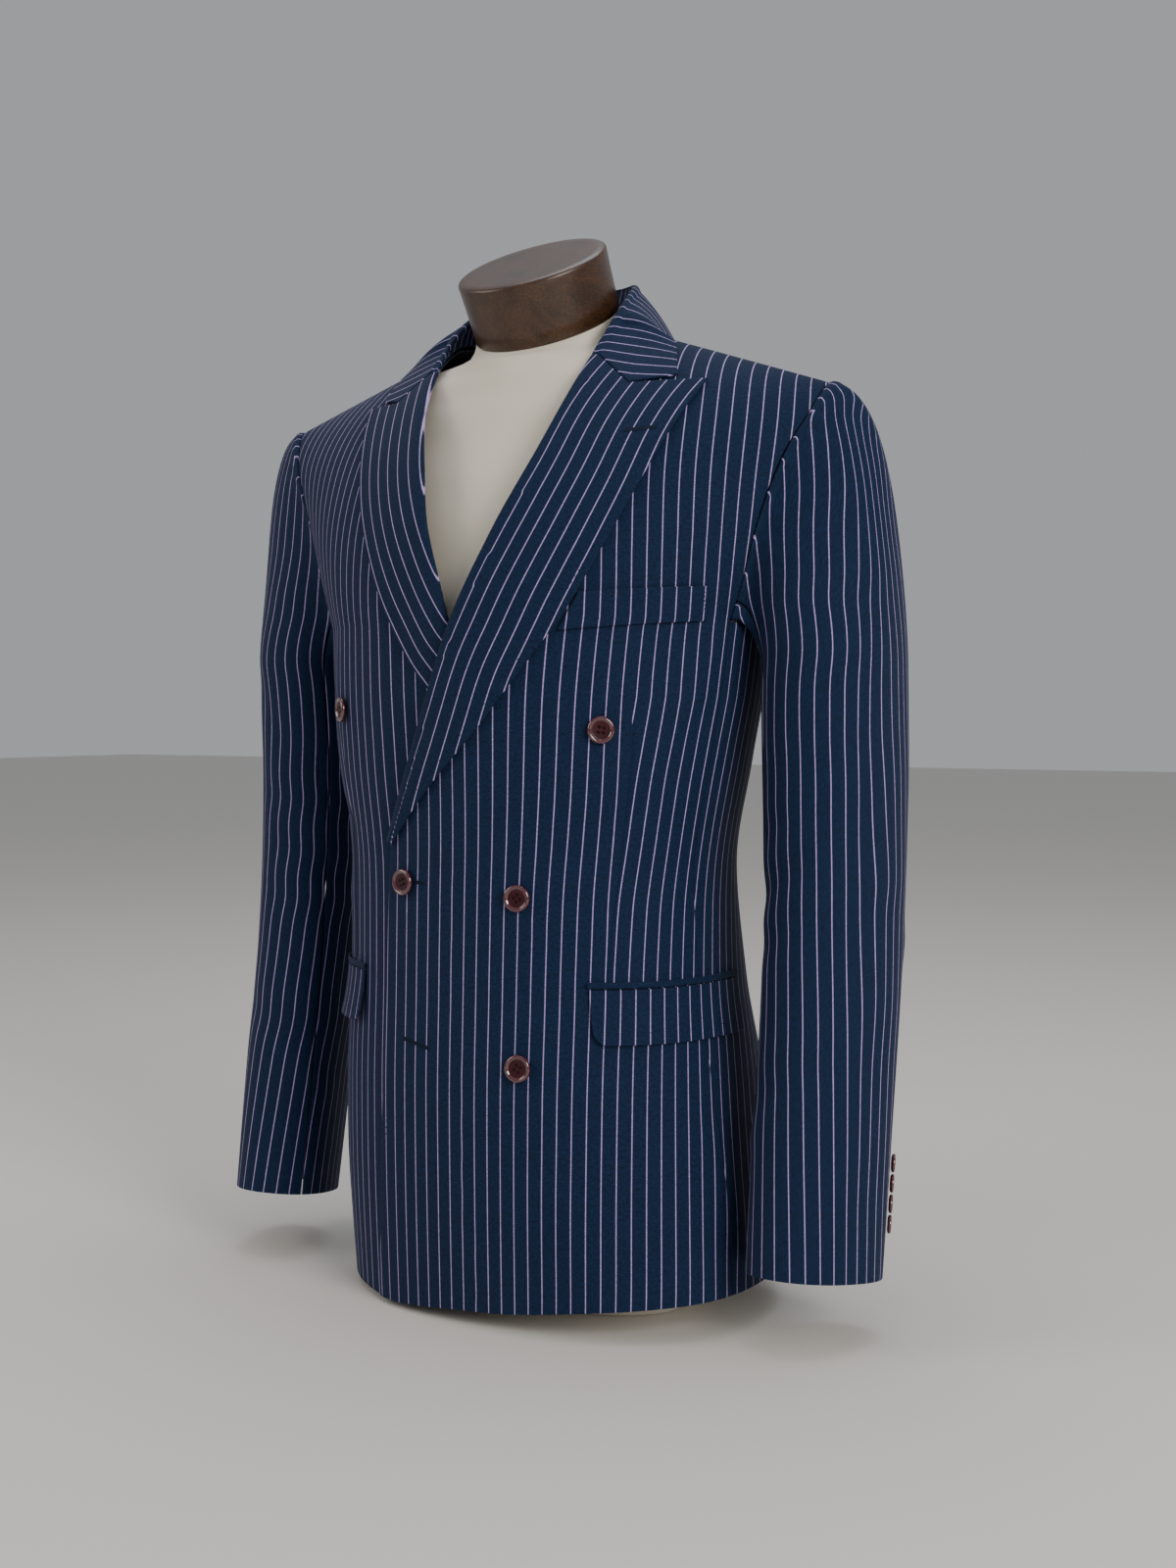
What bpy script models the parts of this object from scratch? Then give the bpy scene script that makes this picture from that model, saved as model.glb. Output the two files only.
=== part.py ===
# Double-breasted suit jacket standing on a limbless dress form.
# Metres, +Z up, the coat faces -Y, wearer's left is +X, the form's flat base is z = 0.
# Every cut piece of the jacket is one closed wall of cloth with a 0.3 mm gap at its seams.
import bpy
import bmesh
import numpy as np
from math import cos, sin, radians

# driving sizes
CLOTH = 0.0016          # wall of the sides, backs and sleeves (shell cloth and lining)
FRONT_CLOTH = 0.0017    # wall of the fronts, which have canvas between cloth and lining
LAPEL = 0.0021          # wall of the lapels and the collar (two layers and canvas)
FLAP = 0.0017           # wall of the pocket flaps, jettings and welt
GAP = 0.0003            # clear gap at every seam
LIFT = 0.0009           # a lapel lies this far off the front it covers
CHEST_Z = 0.500         # height of the underarm, where the coat starts to close to the shoulder
RIDGE_Y = -0.018        # the shoulder seam
MID_Y = -0.025          # the widest line of the coat, at its side
FRONT_ROLL, BACK_ROLL = 1.55, 0.85   # how early the chest and the shoulder blades turn in
BACK_NECK = (0.075, 0.063)           # half width and depth of the back neckline
SIDE_SEAM = (76.0, 118.0)            # side panel, degrees round from the front
OVERLAP_IN = 0.0023     # the right front lies this far in under the left one
LAPEL_ROOM = 0.0042     # and this much more where its own lapel runs under the left front

# body of the coat: height, middle x, half width, front y, back y, front squareness
BODY = [
    (0.000, 0.020, 0.165, -0.146, 0.116, 2.30),
    (0.080, 0.015, 0.166, -0.148, 0.119, 2.30),
    (0.160, 0.009, 0.162, -0.149, 0.116, 2.25),
    (0.240, 0.004, 0.154, -0.147, 0.104, 2.20),
    (0.320, 0.001, 0.152, -0.146, 0.090, 2.15),
    (0.400, 0.000, 0.166, -0.150, 0.094, 2.05),
    (0.460, 0.000, 0.176, -0.153, 0.104, 1.90),
    (0.500, 0.000, 0.180, -0.153, 0.109, 1.80),
]
BACK_SQUARE = 2.3
# above the underarm: degrees of closing (90 = shoulder seam), half width
UPPER = [(0, 0.180), (15, 0.198), (30, 0.215), (50, 0.239), (70, 0.252), (90, 0.258)]
# shoulder line: distance from the middle, height
SHOULDER = [(0.000, 0.737), (0.050, 0.730), (0.075, 0.7225), (0.110, 0.7110), (0.170, 0.6905),
            (0.235, 0.668), (0.270, 0.656)]
# hem: degrees round from the front (plus is the left), height of the cloth edge
HEM = [(-180, 0.0190), (-118, 0.0150), (-90, 0.0105), (-60, 0.0055), (-30, 0.0035), (0, 0.0115), (30, 0.0215),
       (55, 0.0250), (90, 0.0265), (118, 0.0235), (180, 0.0190)]
# edges of the fronts below the lapels: height, x (left front's free edge, right front's hidden edge)
EDGE_LEFT = [(0.000, -0.0744), (0.094, -0.0694), (0.203, -0.0642), (0.310, -0.0612), (0.338, -0.0590)]
EDGE_RIGHT = [(0.000, 0.0760), (0.203, 0.0650), (0.338, 0.0590)]
# roll lines of the lapels: height, x
ROLL_LEFT = [(0.338, -0.0590), (0.385, -0.0385), (0.440, -0.0160), (0.488, 0.0022), (0.560, 0.0345),
             (0.630, 0.0605), (0.672, 0.0680), (0.697, 0.0700)]
ROLL_RIGHT = [(0.338, 0.0590), (0.385, 0.0370), (0.440, 0.0155), (0.481, 0.0010), (0.531, -0.0145),
              (0.570, -0.0280), (0.612, -0.0410), (0.655, -0.0590), (0.697, -0.0740)]
# outer edges of the lapels from the bottom to the peak: x, height
OUTER_LEFT = [(-0.0545, 0.3380), (-0.0240, 0.3730), (0.0300, 0.4290), (0.0722, 0.4840),
              (0.0880, 0.5077), (0.1190, 0.5700), (0.1385, 0.6200), (0.1563, 0.6717)]
OUTER_RIGHT = [(0.0545, 0.3380), (0.0240, 0.3730), (-0.0126, 0.4430), (-0.0385, 0.4720),
               (-0.0570, 0.5000), (-0.0738, 0.5318), (-0.0961, 0.5789), (-0.1177, 0.6350),
               (-0.1330, 0.6716)]
# top edge of a lapel: share of its width, x, height (gorge seam, then the peak)
TOP_LEFT = [(0.00, 0.0700, 0.6922), (0.40, 0.1037, 0.6674), (1.00, 0.1563, 0.6717)]
TOP_RIGHT = [(0.00, -0.0740, 0.6930), (0.40, -0.0970, 0.6688), (1.00, -0.1330, 0.6716)]
# armholes: height, x at the front, x at the back
ARMHOLE = [(0.500, 0.1741, 0.1615), (0.5226, 0.1822, 0.172), (0.5631, 0.1945, 0.185),
           (0.5903, 0.2034, 0.196), (0.6173, 0.2142, 0.208), (0.6452, 0.2270, 0.2225),
           (0.668, 0.2350, 0.2350)]
# collar stations from the gorge to the middle of the back: neck seam x and height, fold line x, y
# and height, outer edge x and height; the first two stations differ on the right
COLLAR = [
    (0.0704, 0.6968, 0.0690, -0.0625, 0.6972, 0.1350, 0.6752),
    (0.0728, 0.7115, 0.0700, -0.0400, 0.7230, 0.1200, 0.7020),
    (0.0748, 0.7226, 0.0690, -0.0180, 0.7430, 0.1050, 0.7116),
    (0.0690, 0.7245, 0.0645, 0.0050, 0.7590, 0.0945, 0.7105),
    (0.0520, 0.7295, 0.0520, 0.0290, 0.7670, 0.0700, 0.7140),
    (0.0290, 0.7340, 0.0300, 0.0480, 0.7700, 0.0390, 0.7205),
    (0.0000, 0.7370, 0.0000, 0.0550, 0.7712, 0.0000, 0.7225),
]
COLLAR_RIGHT = [
    (0.0743, 0.6968, 0.0722, -0.0610, 0.6972, 0.1190, 0.6756),
    (0.0747, 0.7115, 0.0715, -0.0400, 0.7230, 0.1180, 0.7005),
]
NOTCH = (0.53, 0.0149, 0.0125)   # gorge corner: share of the fall, drop on the left, on the right
# sleeve sections: height, centre x, centre y, half width, half depth, turn in degrees
SLEEVE = [
    (0.044, 0.2335, -0.0410, 0.0380, 0.0540, 19.0),
    (0.150, 0.2335, -0.0240, 0.0400, 0.0560, 16.0),
    (0.250, 0.2325, -0.0060, 0.0415, 0.0590, 12.0),
    (0.340, 0.2310, 0.0040, 0.0440, 0.0620, 8.0),
    (0.410, 0.2295, 0.0080, 0.0465, 0.0650, 4.0),
    (0.470, 0.2290, 0.0080, 0.0470, 0.0675, 1.0),
]
HEAD_FULL = 0.085       # how far the padded sleeve head stands out before it turns down
CUFF_TILT = -0.16       # the cuff drops towards the back by this slope
# rows that every panel shares
LOW_ROWS = [0.0, 0.040, 0.085, 0.130, 0.175, 0.220, 0.265, 0.310, 0.338, 0.370, 0.404, 0.436, 0.468, 0.5]
TOP_ROWS = [9, 18, 27, 37, 48, 60, 74, 90]
# dress form: height, half width, front y, middle y, back y, squareness, fall of the ring's front
FORM = [
    (0.000, 0.104, -0.084, -0.025, 0.052, 2.2, 0), (0.004, 0.108, -0.088, -0.025, 0.056, 2.2, 0),
    (0.040, 0.134, -0.112, -0.025, 0.084, 2.3, 0), (0.080, 0.147, -0.126, -0.025, 0.099, 2.3, 0),
    (0.120, 0.149, -0.130, -0.025, 0.102, 2.3, 0), (0.200, 0.142, -0.130, -0.025, 0.094, 2.2, 0),
    (0.320, 0.135, -0.127, -0.025, 0.073, 2.2, 0), (0.420, 0.149, -0.130, -0.025, 0.080, 2.1, 0),
    (0.500, 0.161, -0.130, -0.024, 0.092, 2.0, 0), (0.560, 0.173, -0.119, -0.022, 0.095, 1.9, 0),
    (0.605, 0.181, -0.104, -0.020, 0.088, 1.8, 0), (0.640, 0.184, -0.088, -0.018, 0.074, 1.7, 0),
    (0.660, 0.184, -0.082, -0.018, 0.062, 1.6, 0), (0.6755, 0.178, -0.077, -0.018, 0.050, 1.5, 0),
    (0.6870, 0.163, -0.076, -0.018, 0.043, 1.4, 0.002), (0.6970, 0.135, -0.075, -0.018, 0.037, 1.3, 0.006),
    (0.7050, 0.098, -0.0735, -0.017, 0.034, 1.6, 0.011),
]
# neck of the form: height and y of the ring's middle, radius, forward tilt in degrees
NECK = [(0.7140, -0.0155, 0.0590, 14.0), (0.7245, -0.0140, 0.0572, 23.0), (0.7340, -0.0130, 0.0570, 30.0)]
# wooden block: rise along the neck, radius
BLOCK = [(0.0, 0.0562), (0.0, 0.0572), (0.012, 0.0574), (0.030, 0.0578), (0.0455, 0.0585), (0.0480, 0.0578),
         (0.0490, 0.0560)]
# front buttons: side of the front they are on, x, height
BUTTONS = [(-1, -0.1206, 0.437), (1, 0.1090, 0.423), (1, -0.0429, 0.312), (1, 0.0527, 0.305),
           (1, 0.0560, 0.187)]
BUTTON_R, CUFF_BUTTON_R = 0.0097, 0.0066
CUFF_BUTTONS = [0.0760, 0.0898, 0.1036, 0.1174]   # heights on each sleeve
# a button's section from the middle of its back to the middle of its face, for radius 1
BUTTON = [(0.60, 0.00), (0.93, 0.10), (1.00, 0.24), (0.93, 0.40), (0.80, 0.43), (0.66, 0.31)]
# pockets: welt corners (x, height) top front, top back, low front, low back
WELT = [(0.0952, 0.5188), (0.1676, 0.5236), (0.0815, 0.4920), (0.1641, 0.4990)]
FLAP_ROUND = (37.0, 94.5)       # degrees round the coat
FLAP_Z = (0.2044, 0.2424)
JET_Z = (0.2431, 0.2476)

COLOURS = {"cloth": (0.012, 0.024, 0.050, 1), "lapel": (0.014, 0.028, 0.056, 1),
           "button": (0.10, 0.018, 0.022, 1), "form": (0.70, 0.66, 0.58, 1), "wood": (0.09, 0.045, 0.022, 1)}


def curve(table, t, col=1):
    """Smooth curve through a table's column, without overshoot."""
    a = np.array([[float(v) for v in row] for row in table])
    x, y = a[:, 0], a[:, col]
    d = np.diff(y) / np.diff(x)
    m = np.empty_like(y)
    m[0], m[-1] = d[0], d[-1]
    both = d[:-1] + d[1:]
    m[1:-1] = np.where(d[:-1] * d[1:] > 0, 2 * d[:-1] * d[1:] / np.where(both == 0, 1, both), 0)
    t = np.clip(np.asarray(t, float), x[0], x[-1])
    i = np.clip(np.searchsorted(x, t) - 1, 0, len(x) - 2)
    h = x[i + 1] - x[i]
    s = (t - x[i]) / h
    return ((1 + 2 * s) * (1 - s) ** 2 * y[i] + s * (1 - s) ** 2 * h * m[i]
            + s * s * (3 - 2 * s) * y[i + 1] + s * s * (s - 1) * h * m[i + 1])


def step(t):
    t = np.clip(t, 0, 1)
    return t * t * (3 - 2 * t)


def unit(v):
    return v / np.maximum(np.linalg.norm(v, axis=-1, keepdims=True), 1e-12)


def neck_curve(x):
    """1 at the middle of the back neckline, 0 from the neck point outwards."""
    return np.clip(1 - (np.asarray(x, float) / BACK_NECK[0]) ** 2, 0, 1) ** 0.7


def coat(phi, h):
    """Outer face of the coat. phi is degrees round from the front, h is a height up to CHEST_Z,
    and above it CHEST_Z plus a thousandth of the closing angle."""
    phi, h = np.broadcast_arrays(np.asarray(phi, float), np.asarray(h, float))
    z = np.minimum(h, CHEST_Z)
    tau = np.radians(np.maximum(h - CHEST_Z, 0) * 1000)
    front = np.abs(phi) <= 90
    a = np.where(h > CHEST_Z, curve(UPPER, np.degrees(tau)), curve(BODY, z, 2))
    power = 2 / np.where(front, curve(BODY, z, 5), BACK_SQUARE)
    p = np.radians(np.abs(phi))
    s, c = np.abs(np.sin(p)) ** power, np.abs(np.cos(p)) ** power
    x = curve(BODY, z, 1) + np.sign(phi) * a * s
    y = np.where(front, MID_Y + (curve(BODY, z, 3) - MID_Y) * c, MID_Y + (curve(BODY, z, 4) - MID_Y) * c)
    ridge = np.where(front, RIDGE_Y, RIDGE_Y + BACK_NECK[1] * neck_curve(x))
    roll = np.cos(np.minimum(tau, 1.5705)) ** np.where(front, FRONT_ROLL, BACK_ROLL)
    y = np.where(h > CHEST_Z, ridge + (y - ridge) * roll, y)
    top = curve(SHOULDER, np.abs(x))
    low = z + curve(HEM, phi) * np.clip(1 - z / 0.12, 0, 1) ** 2
    z = np.where(h > CHEST_Z, CHEST_Z + (top - CHEST_Z) * np.sin(tau), low)
    return np.stack([x, y, z], -1)


def coat_normal(phi, h):
    phi, h = np.broadcast_arrays(np.asarray(phi, float), np.asarray(h, float))
    hh = np.clip(h, 0.0015, CHEST_Z + 0.0885)
    du = coat(phi + 0.4, hh) - coat(phi - 0.4, hh)
    dv = coat(phi, np.minimum(hh + 0.0008, CHEST_Z + 0.0895)) - coat(phi, hh - 0.0008)
    return unit(np.cross(du, dv))


def place(x, z, back=False):
    """The (phi, h) of the point of the coat at this x and height."""
    x, z = np.broadcast_arrays(np.asarray(x, float), np.asarray(z, float))
    top = curve(SHOULDER, np.abs(x))
    tau = np.degrees(np.arcsin(np.clip((z - CHEST_Z) / (top - CHEST_Z), 0, 1)))
    h = np.where(z > CHEST_Z, CHEST_Z + tau / 1000, z)
    zz = np.minimum(z, CHEST_Z)
    a = np.where(z > CHEST_Z, curve(UPPER, tau), curve(BODY, zz, 2))
    power = (BACK_SQUARE if back else curve(BODY, zz, 5)) / 2
    dx = x - curve(BODY, zz, 1)
    p = np.degrees(np.arcsin(np.clip(np.abs(dx) / a, 0, 1) ** power)) * np.sign(dx)
    if back:
        p = np.sign(dx + 1e-9) * (180 - np.abs(p))
    return p, h


def under(phi, h):
    """How far the right front is moved in where the left front covers it."""
    x = coat(phi, h)[..., 0]
    z = np.minimum(h, 0.59)
    lap = OVERLAP_IN * step((x + 0.150) / 0.060) * (1 - step((z - 0.505) / 0.03))
    room = LAPEL_ROOM * step((x + 0.075) / 0.040) * step((z - 0.300) / 0.035) * (1 - step((z - 0.500) / 0.02))
    return -(lap + room)


def wall(name, outer, inner, kind):
    """A closed piece of cloth from two matching grids of points."""
    r, c = outer.shape[:2]
    verts = np.concatenate([outer.reshape(-1, 3), inner.reshape(-1, 3)])
    a = np.arange(r * c).reshape(r, c)
    b = a + r * c
    faces = [(a[i, j], a[i, j + 1], a[i + 1, j + 1], a[i + 1, j]) for i in range(r - 1) for j in range(c - 1)]
    faces += [(b[i, j], b[i + 1, j], b[i + 1, j + 1], b[i, j + 1]) for i in range(r - 1) for j in range(c - 1)]
    loop = [(a[0, j], a[0, j + 1]) for j in range(c - 1)]
    loop += [(a[i, -1], a[i + 1, -1]) for i in range(r - 1)]
    loop += [(a[-1, j + 1], a[-1, j]) for j in range(c - 1)]
    loop += [(a[i + 1, 0], a[i, 0]) for i in range(r - 1)]
    faces += [(q, p, p + r * c, q + r * c) for p, q in loop]
    return build(name, verts, faces, kind)


def build(name, verts, faces, kind):
    mesh = bpy.data.meshes.new(name)
    mesh.from_pydata([tuple(map(float, v)) for v in verts], [], [tuple(int(i) for i in f) for f in faces])
    mesh.validate()
    bm = bmesh.new()
    bm.from_mesh(mesh)
    bmesh.ops.recalc_face_normals(bm, faces=bm.faces)
    bm.to_mesh(mesh)
    bm.free()
    for poly in mesh.polygons:
        poly.use_smooth = True
    obj = bpy.data.objects.new(name, mesh)
    bpy.context.scene.collection.objects.link(obj)
    mat = bpy.data.materials.new(name + "_material")
    mat.use_nodes = True
    shader = mat.node_tree.nodes["Principled BSDF"]
    shader.inputs["Base Color"].default_value = COLOURS[kind]
    shader.inputs["Roughness"].default_value = {"button": 0.25, "wood": 0.4}.get(kind, 0.85)
    mesh.materials.append(mat)
    return obj


for old in list(bpy.data.objects):
    bpy.data.objects.remove(old, do_unlink=True)

ROWS = np.array(LOW_ROWS + [CHEST_Z + t / 1000 for t in TOP_ROWS])


def seam_shift(phi, h, metres):
    """Degrees round the coat that make this many metres at phi, h."""
    run = np.linalg.norm(coat(phi + 0.5, h) - coat(phi - 0.5, h), axis=-1)
    return metres / run


def front_bounds(side):
    """For every shared row, the phi of a front's free edge and of its side seam or armhole."""
    roll = ROLL_LEFT if side > 0 else ROLL_RIGHT
    edge = EDGE_LEFT if side > 0 else EDGE_RIGHT
    zs = np.linspace(roll[0][0], roll[-1][0], 80)
    rp, rh = place(curve(roll, zs), zs)
    neck_p, neck_h = place(side * BACK_NECK[0], SHOULDER[2][1] - 0.0002)
    rp, rh = np.append(rp, neck_p), np.append(rh, CHEST_Z + 0.090)
    low_p, _ = place(curve(edge, ROWS), np.minimum(ROWS, roll[0][0]))
    free = np.where(ROWS <= roll[0][0], low_p, np.interp(ROWS, rh, rp))
    free = free + side * np.where(ROWS > roll[0][0], seam_shift(free, ROWS, GAP), 0)
    az = np.linspace(CHEST_Z, 0.668, 60)
    ap, ah = place(side * curve(ARMHOLE, az, 1), az)
    ah[-1] = CHEST_Z + 0.090
    seam = np.where(ROWS <= CHEST_Z, side * SIDE_SEAM[0], np.interp(ROWS, ah, ap))
    seam = seam - side * seam_shift(seam, ROWS, GAP / 2)
    return free, seam


def back_bounds(side):
    az = np.linspace(CHEST_Z, 0.668, 60)
    ap, ah = place(side * curve(ARMHOLE, az, 2), az, back=True)
    ah[-1] = CHEST_Z + 0.090
    seam = np.where(ROWS <= CHEST_Z, side * SIDE_SEAM[1], np.interp(ROWS, ah, ap))
    return seam + side * seam_shift(seam, ROWS, GAP / 2)


# fronts
COLS = 14
front_edge = {}
for side, name in ((1, "front_left"), (-1, "front_right")):
    free, seam = front_bounds(side)
    t = np.linspace(0, 1, COLS + 1)[None, :]
    phi = free[:, None] * (1 - t) + seam[:, None] * t
    h = np.repeat(ROWS[:, None], COLS + 1, 1)
    p, n = coat(phi, h), coat_normal(phi, h)
    n[-1] = unit(np.stack([side * 0.36 + 0 * phi[-1], 0 * phi[-1], 1 + 0 * phi[-1]], -1))
    p[-1, :, 1] -= GAP / 2
    if side < 0:
        p = p + n * under(phi, h)[..., None]
    front_edge[side] = (p[:, -1], n[:, -1], phi[:, -1], h[:, -1])
    wall(name, p, p - n * FRONT_CLOTH, "cloth")

# side panels
low = ROWS[ROWS <= CHEST_Z]
side_top = {}
for side, name in ((1, "side_left"), (-1, "side_right")):
    s0, s1 = side * SIDE_SEAM[0], side * SIDE_SEAM[1]
    t = np.linspace(0, 1, 7)[None, :]
    a = s0 + side * seam_shift(s0, low, GAP / 2)
    b = s1 - side * seam_shift(s1, low, GAP / 2)
    phi = a[:, None] * (1 - t) + b[:, None] * t
    h = np.repeat(low[:, None], 7, 1)
    p, n = coat(phi, h), coat_normal(phi, h)
    side_top[side] = (p[-1], n[-1])
    wall(name, p, p - n * CLOTH, "cloth")

# backs
back_edge = {}
for side, name in ((1, "back_left"), (-1, "back_right")):
    seam = back_bounds(side)
    t = np.linspace(0, 1, 11)[None, :]
    phi = seam[:, None] * (1 - t) + side * 180.0 * t
    h = np.repeat(ROWS[:, None], 11, 1)
    p, n = coat(phi, h), coat_normal(phi, h)
    p[:, -1, 0] = side * GAP / 2 + curve(BODY, np.minimum(ROWS, CHEST_Z), 1)
    n[:, -1, 0] = 0
    n = unit(n)
    top_x = np.abs(p[-1, :, 0])
    flat = unit(np.stack([side * 0.36 * step((top_x - 0.03) / 0.05), 0.75 * (1 - step((top_x - 0.03) / 0.05)),
                          1 + 0 * top_x], -1))
    n[-1] = flat
    p[-1, :, 1] += GAP / 2
    back_edge[side] = (p[:, 0], n[:, 0], phi[:, 0], h[:, 0])
    wall(name, p, p - n * CLOTH, "cloth")


def on_front(x, z, side, lift=0.0):
    """Outer point and normal of a front at this x and height, moved out by lift."""
    phi, h = place(x, z)
    n = coat_normal(phi, h)
    p = coat(phi, h)
    if side < 0:
        p = p + n * under(phi, h)[..., None]
    return p + n * np.asarray(lift)[..., None], n


def spaced(table, count, xcol, zcol):
    """count points at even steps along a smooth curve through a table of x and height."""
    a = np.array([[float(v) for v in row] for row in table])
    s = np.append(0, np.cumsum(np.hypot(np.diff(a[:, xcol]), np.diff(a[:, zcol]))))
    t = np.linspace(0, s[-1], count)
    return (curve(list(zip(s, a[:, xcol])), t), curve(list(zip(s, a[:, zcol])), t))


# lapels: a J round the edge of the front at the roll line, then a leaf that lies on the front
J_OUT = [(0.0026, -0.0016), (0.0032, 0.0004), (0.0028, 0.0022), (0.0014, 0.0034)]
J_IN = [(0.0005, -0.0016), (0.0005, -0.0003), (0.0005, 0.0007), (0.0002, 0.0012)]
LEAF = np.array([0.03, 0.14, 0.27, 0.40, 0.55, 0.70, 0.85, 1.0])
LAPEL_ROWS = 17
for side, name in ((1, "lapel_left"), (-1, "lapel_right")):
    roll = ROLL_LEFT if side > 0 else ROLL_RIGHT
    outer = OUTER_LEFT if side > 0 else OUTER_RIGHT
    top = TOP_LEFT if side > 0 else TOP_RIGHT
    rz, rx = spaced(roll, LAPEL_ROWS, 0, 1)
    ex, ez = spaced(outer, LAPEL_ROWS, 0, 1)
    rz = roll[0][0] + 0.002 + (top[0][2] - roll[0][0] - 0.002) * np.linspace(0, 1, LAPEL_ROWS)
    rx = curve(roll, rz)
    f = LEAF[None, :]
    x = rx[:, None] * (1 - f) + ex[:, None] * f
    z = rz[:, None] * (1 - f) + ez[:, None] * f
    pull = (np.linspace(0, 1, LAPEL_ROWS) ** 5)[:, None]
    ta = np.array(top, float)
    x = x + pull * (np.interp(f, ta[:, 0], ta[:, 1]) - x[-1:])
    z = z + pull * (np.interp(f, ta[:, 0], ta[:, 2]) - z[-1:])
    base, n = on_front(x, z, side)
    root, rn = on_front(rx, rz, side)
    out_dir = unit(root - base[:, 2])
    out_dir = unit(out_dir - rn * (out_dir * rn).sum(-1, keepdims=True))
    j_out = np.stack([root + out_dir * a + rn * b for a, b in J_OUT], 1)
    j_in = np.stack([root + out_dir * a + rn * b for a, b in J_IN], 1)
    rise = LAPEL + LIFT + 0.0006 * (1 - f) ** 2
    leaf_out = base + n * rise[..., None]
    leaf_in = base + n * (rise - LAPEL)[..., None]
    wall(name, np.concatenate([j_out, leaf_out], 1), np.concatenate([j_in, leaf_in], 1), "lapel")

# collar: stand, fold and fall as one sheet from gorge to gorge
FALL = (0.15, 0.33, 0.53, 0.70, 0.85, 1.0)


def thread(points, k):
    """Smooth curve through points at whole numbers of k."""
    p = np.asarray(points, float)
    i = int(min(max(np.floor(k), 0), len(p) - 2))
    t = k - i
    slope = lambda j: (p[min(j + 1, len(p) - 1)] - p[max(j - 1, 0)]) / (min(j + 1, len(p) - 1) - max(j - 1, 0))
    return ((1 + 2 * t) * (1 - t) ** 2 * p[i] + t * (1 - t) ** 2 * slope(i)
            + t * t * (3 - 2 * t) * p[i + 1] + t * t * (t - 1) * slope(i + 1))


def collar_lines(side):
    """Neck seam, fold line, outer edge and its normal at the table's stations."""
    rows = (COLLAR_RIGHT if side < 0 else COLLAR[:2]) + COLLAR[2:]
    neck, fold, edge, norm = [], [], [], []
    for k, (nx, nz, fx, fy, fz, ex, ez) in enumerate(rows):
        if k <= 2:
            q, _ = on_front(np.array(side * nx), np.array(nz - 0.0003), 1, np.array(0.0))
        else:
            q = np.array([side * nx, RIDGE_Y + BACK_NECK[1] * float(neck_curve(nx)), float(curve(SHOULDER, nx))])
        neck.append(q)
        fold.append([side * fx, fy, fz])
        ph, h = place(side * ex, ez, back=k > 2)
        n = coat_normal(ph, h)
        if k == len(rows) - 1:
            n = unit(n * [0, 1, 1])
        edge.append(coat(ph, h) + n * (LAPEL + (0.0012 if k < 3 else 0.0028)))
        norm.append(n)
    norm[2] = unit(norm[1] + norm[3])
    return np.array(neck), np.array(fold), np.array(edge), np.array(norm), rows


def collar_station(k, side, lines):
    """Outer and inner points of one station, from the neck seam over the fold to the outer edge."""
    neck, fold, edge, en = (thread(a, k) for a in lines[:4])
    fx, fz, ex, ez = (float(thread([[r[c]] for r in lines[4]], k)[0]) for c in (2, 4, 5, 6))
    en = unit(en)
    up = np.array([0, 0, 1.0])
    flat = edge - fold
    flat = unit(np.array([flat[0], flat[1], 0.0]))
    foot = neck + up * 0.0010 - flat * 0.0010
    w = step((1.5 - k) / 1.5)
    corner, drop = NOTCH[0], NOTCH[1 if side > 0 else 2]
    fall = []
    for t in FALL:
        bump = min(t / corner, (1 - t) / (1 - corner))
        q = fold + (edge - fold) * t + en * (0.0035 - 0.0015 * w) * np.sin(np.pi * t)
        if w > 0:
            x = side * (fx + (ex - fx) * t)
            z = fz + (ez - fz) * t - drop * bump * max(0.0, 1 - k / 0.9) ** 2
            z = min(z, float(curve(SHOULDER, x * side)) - 0.0005)
            p, n = on_front(np.array(x), np.array(z), 1, np.array(LAPEL + LIFT + 0.0012 * (1 - t) ** 2))
            q = q * (1 - w) + p * w
        fall.append(q)
    outer = np.array([foot, foot + (fold - foot) * 0.55, fold - up * 0.0036 - flat * 0.0006, fold]
                     + [fold + (fall[0] - fold) * 0.40 + (up + flat) * 0.0010] + fall)
    tang = np.gradient(outer, axis=0)
    along = unit(np.cross(flat, up))
    nrm = unit(np.cross(tang, along))
    nrm = nrm * -np.sign((nrm[-1] * en).sum())
    inner = outer + nrm * LAPEL
    inner[0] = foot + flat * LAPEL
    return outer, inner


fine = [0, 0.25, 0.55, 0.9, 1.3, 1.7, 2.1, 2.6, 3.1, 3.7, 4.3, 4.9, 5.5, 6]
lines = {side: collar_lines(side) for side in (1, -1)}
left = [collar_station(k, 1, lines[1]) for k in fine]
right = [collar_station(k, -1, lines[-1]) for k in fine]
outer = np.array([o for o, i in left] + [o for o, i in right[-2::-1]])
inner = np.array([i for o, i in left] + [i for o, i in right[-2::-1]])
wall("collar", outer, inner, "lapel")

# sleeves: from the armhole, over the head and under the arm, to the open cuff
HEAD = [0.0, 0.05, 0.13, 0.25, 0.40, 0.58, 0.78, 1.0]
DOWN = [0.430, 0.385, 0.340, 0.295, 0.245, 0.190, 0.140, 0.092, 0.044]


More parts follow.
